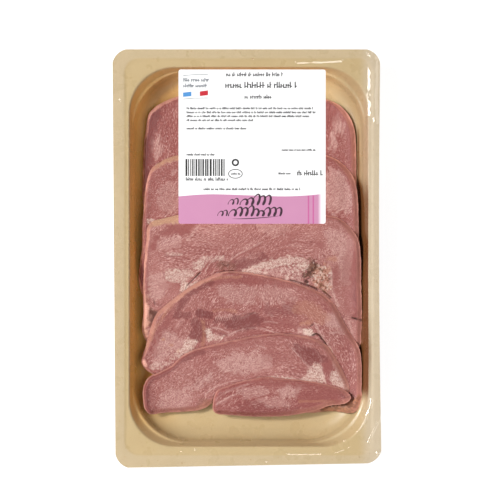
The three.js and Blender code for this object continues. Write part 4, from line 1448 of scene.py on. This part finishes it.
def film_height(x, y):
    """How high the film lies: on the seal, down over the ledge, and nearly flat over the slices."""
    depth = -past_seal(x, y)
    sag = 0.35 * smooth(0, 5, depth)
    waves = 0.25 * (clouds(x, y, 35, 21, 2) - 0.5) * smooth(2, 12, depth)
    height = TRAY_HEIGHT + SEAL_GAP + flange_waves(x, y) * smooth(6, -1, depth) - sag + waves
    for seed, (half_width, steepness, points) in enumerate(FOLDS):
        away = distance_to_line(x, y, fold_line(points)) + 0.35 * (noise(x, y, 2.5, 60 + seed) - 0.5)
        beads = 0.8 + 0.4 * noise(x, y, 2.2, 80 + seed)
        height = height + beads * crest(away, half_width, steepness)
    for radius, steepness, middle in BUMPS:
        bump_x, bump_y = from_photo(middle)
        height = height + crest(np.hypot(x - bump_x, y - bump_y), radius, steepness)
    return height


def near_folds(step):
    """Points at even distances on and beside the folds and bumps, for the film's mesh."""
    found = []
    shapes = [(half_width, fold_line(points)) for half_width, _, points in FOLDS]
    shapes += [(radius, from_photo([middle, middle])) for radius, _, middle in BUMPS]
    for half_width, along in shapes:
        low, high = along.min(0) - half_width, along.max(0) + half_width
        x, y = np.meshgrid(np.arange(low[0], high[0], step), np.arange(low[1], high[1], step))
        near = distance_to_line(x, y, along) < half_width + step
        found.append(np.column_stack([x[near], y[near]]))
    return np.vstack(found)


def film_piece():
    edge = uneven_cut(ring(OUTER_EDGE), 1)[:, :2]
    fine = near_folds(FOLD_STEP)
    fine = fine[depth_inside(fine[:, 0], fine[:, 1], edge) > 0.2]
    inner = np.vstack([grid_inside(edge, FILM_STEP, 0.8), fine])
    places, faces, went = triangulated(edge, inner)
    z = film_height(places[:, 0], places[:, 1])
    points, all_faces = doubled(places, faces, z + FILM_THICKNESS, z)
    all_faces += band_between(went, [len(places) + i for i in went])
    piece = mesh_object("clear_lid", points, all_faces, materials=[clear_film()], sharp=40)
    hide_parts("lid_film")
    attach(piece, "root")


# Label, in millimetres from its lower left corner


# The pen's strokes, as (u, v, length, height, loops, weight)
PEN_STROKES = [
    (30.9, 12.0, 5.2, 3.2, 2, 1.0), (38.4, 11.8, 17.5, 5.3, 5, 1.45), (24.4, 5.0, 5, 3.0, 2, 1.0),
    (31.2, 4.9, 31.5, 5.0, 9, 1.45),
]
PEN_DASH = [(33, 3.1), (42, 3.4), (55, 4.2), (64, 5.0), (55, 3.8), (42, 2.9)]

# The lines of print, as (u, v, length, height): black ones, and small grey ones in the corner
PRINT_LINES = [
    (29.5, 91.5, 35, 2.5), (29, 84.2, 44, 3.9), (41, 77.6, 16, 2.6),
    (5, 71, 78, 1.5), (5, 68.5, 80, 1.5), (5, 66.1, 76, 1.5), (5, 63.6, 41, 1.5),
    (5, 58.5, 37, 1.5), (64, 45.2, 21, 1.3), (5, 42.3, 17, 1.4), (62, 30.6, 8, 1.3),
    (73.5, 30, 16, 3.2), (15.5, 20.8, 60, 1.6), (4.5, 26.7, 26, 2.2),
]
GREY_LINES = [(3, 84.6, 15, 2.4), (3, 88.2, 15, 2.4)]

PINK_TOP = [(0, 17), (12, 18), (22, 18.3), (45, 17.6), (66, 17), (80, 17.6), (LABEL_WIDTH, 18.7)]
GREY_ARC = [(2.8, 0), (10, 0.6), (18.3, 0.7), (18.3, 1), (10, 0.9), (2.8, 0.3)]
BLUE_PATCH = [(2.8, 78.7), (8, 79.2), (8, 82), (2.8, 81.4)]
RED_PATCH = [(13.2, 79.2), (18.3, 79.8), (18.3, 82.8), (13.2, 82.1)]

# Each ink's colour, and the paper's own as the first
INKS = {
    "white": (240, 240, 240), "pink": None, "rose_line": (190, 92, 146), "plum": (54, 26, 42),
    "black": (26, 24, 26), "grey": (84, 92, 100), "blue": (70, 138, 198), "red": (186, 20, 40),
}


def bar(u, v, width, height):
    return [(u, v), (u + width, v), (u + width, v + height), (u, v + height)]


def oval(u, v, half_u, half_v):
    angles = np.linspace(0, 2 * math.pi, 32, endpoint=False)
    return np.column_stack([u + half_u * np.cos(angles), v + half_v * np.sin(angles)])


def strokes(u, v, length, height, seed):
    """Small upright strokes in groups of uneven length with short level ones between them, where
    the label has a line of print."""
    made = []
    thick = STROKE_LEAST + STROKE * height
    at, group = u, 0
    while at < u + length:
        for k in range(2 + int(7 * float(lattice(group, seed, 1)))):
            tall = 1.0 if float(lattice(k, group, seed)) > 0.75 else 0.68
            gap = height * (0.3 + 0.2 * float(lattice(group, k, seed + 1)))
            if at < u + length:
                made.append(bar(at, v, thick, height * tall))
                level = v + height * 0.55 * float(lattice(k, group, seed + 7))
                made.append(bar(at, level, gap * 0.95, 0.9 * thick))
            at += gap
        at += 0.4 * height
        group += 1
    return made


def flourish(u, v, length, height, loops, weight, seed):
    """A slanted pen stroke in loops of uneven height, as short pieces."""
    t = np.linspace(0, 1, 20 * loops + 1)
    phase = 2 * math.pi * loops * t
    tall = height * (0.6 + 0.7 * np.array([float(lattice(int(p), seed, 2)) for p in loops * t]))
    tall = np.convolve(np.pad(tall, 5, mode="edge"), np.full(11, 1 / 11), mode="valid")
    rise = tall * (1 - np.cos(phase)) / 2
    pitch = length / loops
    centre = np.column_stack([u + length * t - 0.33 * pitch * np.sin(phase) + 0.35 * rise, v + rise])
    half = weight * (0.3 + 0.35 * (1 - np.sin(phase)))[:, None] / 2
    aside = left_of(np.gradient(centre, axis=0)) * half
    left, right = centre + aside, centre - aside
    return [[left[i], right[i], right[i + 1], left[i + 1]] for i in range(len(t) - 1)]


def bar_code():
    bars = []
    at, k = BARCODE_LEFT, 0
    while at < BARCODE_RIGHT - 1:
        thick = 0.4 + 0.9 * float(lattice(k, 3, 8))
        bars.append(bar(at, BARCODE_BOTTOM, thick, BARCODE_HEIGHT))
        at += thick + 0.3 + 0.45 * float(lattice(k, 4, 8))
        k += 1
    return bars


def label_print():
    """The label's fields of colour, as (ink, outline), and a later one covers those before it."""
    shapes = []

    def lay(name, outlines):
        shapes.extend((name, outline) for outline in outlines)

    top = spline(PINK_TOP, 1.5, closed=False)
    lay("pink", [[(0, 0), (LABEL_WIDTH, 0), *top[::-1]]])
    lay("rose_line", [bar(80.2, 0, 0.9, 17.4), bar(83.2, 0, 0.9, 17.6)])
    for seed, stroke in enumerate(PEN_STROKES, 50):
        lay("plum", flourish(*stroke, seed))
    lay("plum", [spline(PEN_DASH, 1.0)])
    for seed, place in enumerate(PRINT_LINES):
        lay("black", strokes(*place, seed))
    lay("black", bar_code())
    for v, outer, inner in ((38, (2.3, 2.3), (1.2, 1.2)), (31, (4.5, 3.0), (4.0, 2.5))):
        lay("black", [oval(35.3, v, *outer)])
        lay("white", [oval(35.3, v, *inner)])
    lay("black", strokes(32.6, 30.4, 5.5, 1.3, 40))
    lay("blue", [BLUE_PATCH])
    lay("red", [RED_PATCH])
    lay("grey", [[(u, v + rise) for u, rise in GREY_ARC] for v in (77.2, 91.8)])
    for seed, place in enumerate(GREY_LINES, 60):
        lay("grey", strokes(*place, seed))
    return shapes


def ink(name):
    return pink_band() if name == "pink" else paper("label_" + name, linear(*INKS[name]))


def cut_by_print(edge, shapes):
    """The label's face cut along every outline: its places, faces, and the ink on each face."""
    rings = [edge]
    low = np.array([LABEL_X - LABEL_WIDTH / 2, LABEL_Y - LABEL_LENGTH / 2])
    high = low + [LABEL_WIDTH - PRINT_MARGIN, LABEL_LENGTH - PRINT_MARGIN]
    for _, outline in shapes:
        rings.append(np.clip(outline, low + PRINT_MARGIN, high))
    starts = np.cumsum([0] + [len(points) for points in rings]).tolist()
    edges = [side for start, points in zip(starts, rings) for side in closed_edges(start, len(points))]
    places, faces, _ = flat_faces(np.vstack(rings), edges)
    middles = np.array([places[list(face)].mean(0) for face in faces])
    colour = np.zeros(len(faces), int)
    for material, outline in shapes:
        near = ((middles > outline.min(0)) & (middles < outline.max(0))).all(1)
        within = is_inside(middles[near, 0], middles[near, 1], outline)
        colour[np.flatnonzero(near)[within]] = material
    keep = is_inside(middles[:, 0], middles[:, 1], edge)
    return places, [face for face, kept in zip(faces, keep) if kept], colour[keep]


def outer_sides(faces):
    """The sides that only one face has, each in that face's direction."""
    sides = {}
    for face in faces:
        for a, b in zip(face, (*face[1:], face[0])):
            if (b, a) in sides:
                del sides[(b, a)]
            else:
                sides[(a, b)] = True
    return list(sides)


def label_piece():
    level = (LABEL_X, LABEL_Y, LABEL_WIDTH / 2, LABEL_LENGTH / 2, LABEL_CORNER, 0, 0)
    corner = np.array([LABEL_X - LABEL_WIDTH / 2, LABEL_Y - LABEL_LENGTH / 2])
    number = {name: i for i, name in enumerate(INKS)}
    shapes = [(number[name], np.array(outline) + corner) for name, outline in label_print()]
    places, faces, colour = cut_by_print(ring(level)[:, :2], shapes)
    count = len(places)
    points, all_faces = doubled(places, faces, np.full(count, LABEL_TOP), np.full(count, LABEL_BOTTOM))
    all_faces += [(a, count + a, count + b, b) for a, b in outer_sides(faces)]
    materials = np.r_[colour, np.zeros(len(all_faces) - len(colour), int)]
    inks = [ink(name) for name in INKS]
    piece = mesh_object("printed_label", points, all_faces, materials, inks, sharp=40)
    piece.visible_shadow = False
    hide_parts("label")
    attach(piece, "root")


# Stage

PHOTO_FRAME = 310.6  # millimetres across the photograph at the flange
CAMERA_X, CAMERA_Y, CAMERA_HEIGHT = 2.1, 4.85, 1000
SENSOR_WIDTH = 36
FLOOR_SIZE, FLOOR_DROP = 6, 0.0005  # metres
FLOOR_GREY, FLOOR_GLOW, GLOW_SHARE = 0.9, 1.27, 0.7
ROOM_LIGHT, CEILING_SHARE = 0.5, 0.2

# Each sun-like light, as (azimuth, elevation and spread in degrees, strength)
FAR_LIGHTS = {"key": (157, 46, 9, 2.3), "fill": (350, 35, 60, 0.9)}

# Each softbox, as (azimuth, elevation in degrees, distance, width and height in metres, watts)
SOFTBOXES = {"left_window": (172, 49, 1.5, 1.1, 0.5, 15.5), "near_strip": (272, 50, 1.5, 1.2, 0.35, 6)}


def floor_piece():
    bpy.ops.mesh.primitive_plane_add(size=FLOOR_SIZE, location=(0, 0, -FLOOR_DROP))
    floor = bpy.context.object
    floor.name = "floor"
    n = Nodes("pale_floor")
    grey = n.add("ShaderNodeBsdfDiffuse", {"Color": (FLOOR_GREY, FLOOR_GREY, FLOOR_GREY, 1)})
    glow = n.add("ShaderNodeEmission", {"Color": (1, 1, 1, 1), "Strength": FLOOR_GLOW})
    both = n.add("ShaderNodeMixShader", {0: GLOW_SHARE, 1: grey, 2: glow})
    floor.data.materials.append(n.surface(both.outputs[0]))
    floor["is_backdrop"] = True


def camera():
    data = bpy.data.cameras.new("camera")
    data.sensor_width = SENSOR_WIDTH
    data.lens = SENSOR_WIDTH * CAMERA_HEIGHT / PHOTO_FRAME
    made = bpy.data.objects.new("camera", data)
    made.location = Vector((CAMERA_X, CAMERA_Y, TRAY_HEIGHT + CAMERA_HEIGHT)) * MM
    bpy.context.scene.collection.objects.link(made)
    bpy.context.scene.camera = made


def lamp(name, kind, azimuth, elevation, power, distance=0.0):
    """A light that shines at the origin from that direction, and its data."""
    light = bpy.data.lights.new(name, kind)
    light.energy = power
    a, e = math.radians(azimuth), math.radians(elevation)
    way = Vector((math.cos(a) * math.cos(e), math.sin(a) * math.cos(e), math.sin(e)))
    made = bpy.data.objects.new(name, light)
    made.location = way * distance
    made.rotation_mode = "QUATERNION"
    made.rotation_quaternion = way.to_track_quat("Z", "Y")
    bpy.context.scene.collection.objects.link(made)
    return light


def lights():
    for name, (azimuth, elevation, spread, power) in FAR_LIGHTS.items():
        lamp(name, "SUN", azimuth, elevation, power).angle = math.radians(spread)
    for name, (azimuth, elevation, distance, width, height, power) in SOFTBOXES.items():
        light = lamp(name, "AREA", azimuth, elevation, power, distance)
        light.shape = "RECTANGLE"
        light.size, light.size_y = width, height


def room():
    """Bright walls round the table, and a dim ceiling that the film mirrors."""
    world = bpy.data.worlds.new("studio")
    world.use_nodes = True
    tree = world.node_tree
    place = tree.nodes.new("ShaderNodeTexCoord")
    split = tree.nodes.new("ShaderNodeSeparateXYZ")
    rise = tree.nodes.new("ShaderNodeMapRange")
    rise.interpolation_type = "SMOOTHSTEP"
    rise.inputs["From Min"].default_value = 0.45
    rise.inputs["From Max"].default_value = 0.9
    rise.inputs["To Min"].default_value = ROOM_LIGHT
    rise.inputs["To Max"].default_value = ROOM_LIGHT * CEILING_SHARE
    tree.links.new(place.outputs["Generated"], split.inputs[0])
    tree.links.new(split.outputs["Z"], rise.inputs["Value"])
    tree.links.new(rise.outputs[0], tree.nodes["Background"].inputs["Strength"])
    bpy.context.scene.world = world
    bpy.context.scene.view_settings.view_transform = "Standard"


MEAT = meat()
floor_piece()
camera()
lights()
room()
tray_piece()
slice_pieces()
film_piece()
label_piece()

[[list(corner) for corner in box] for box in (cad_box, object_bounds())]
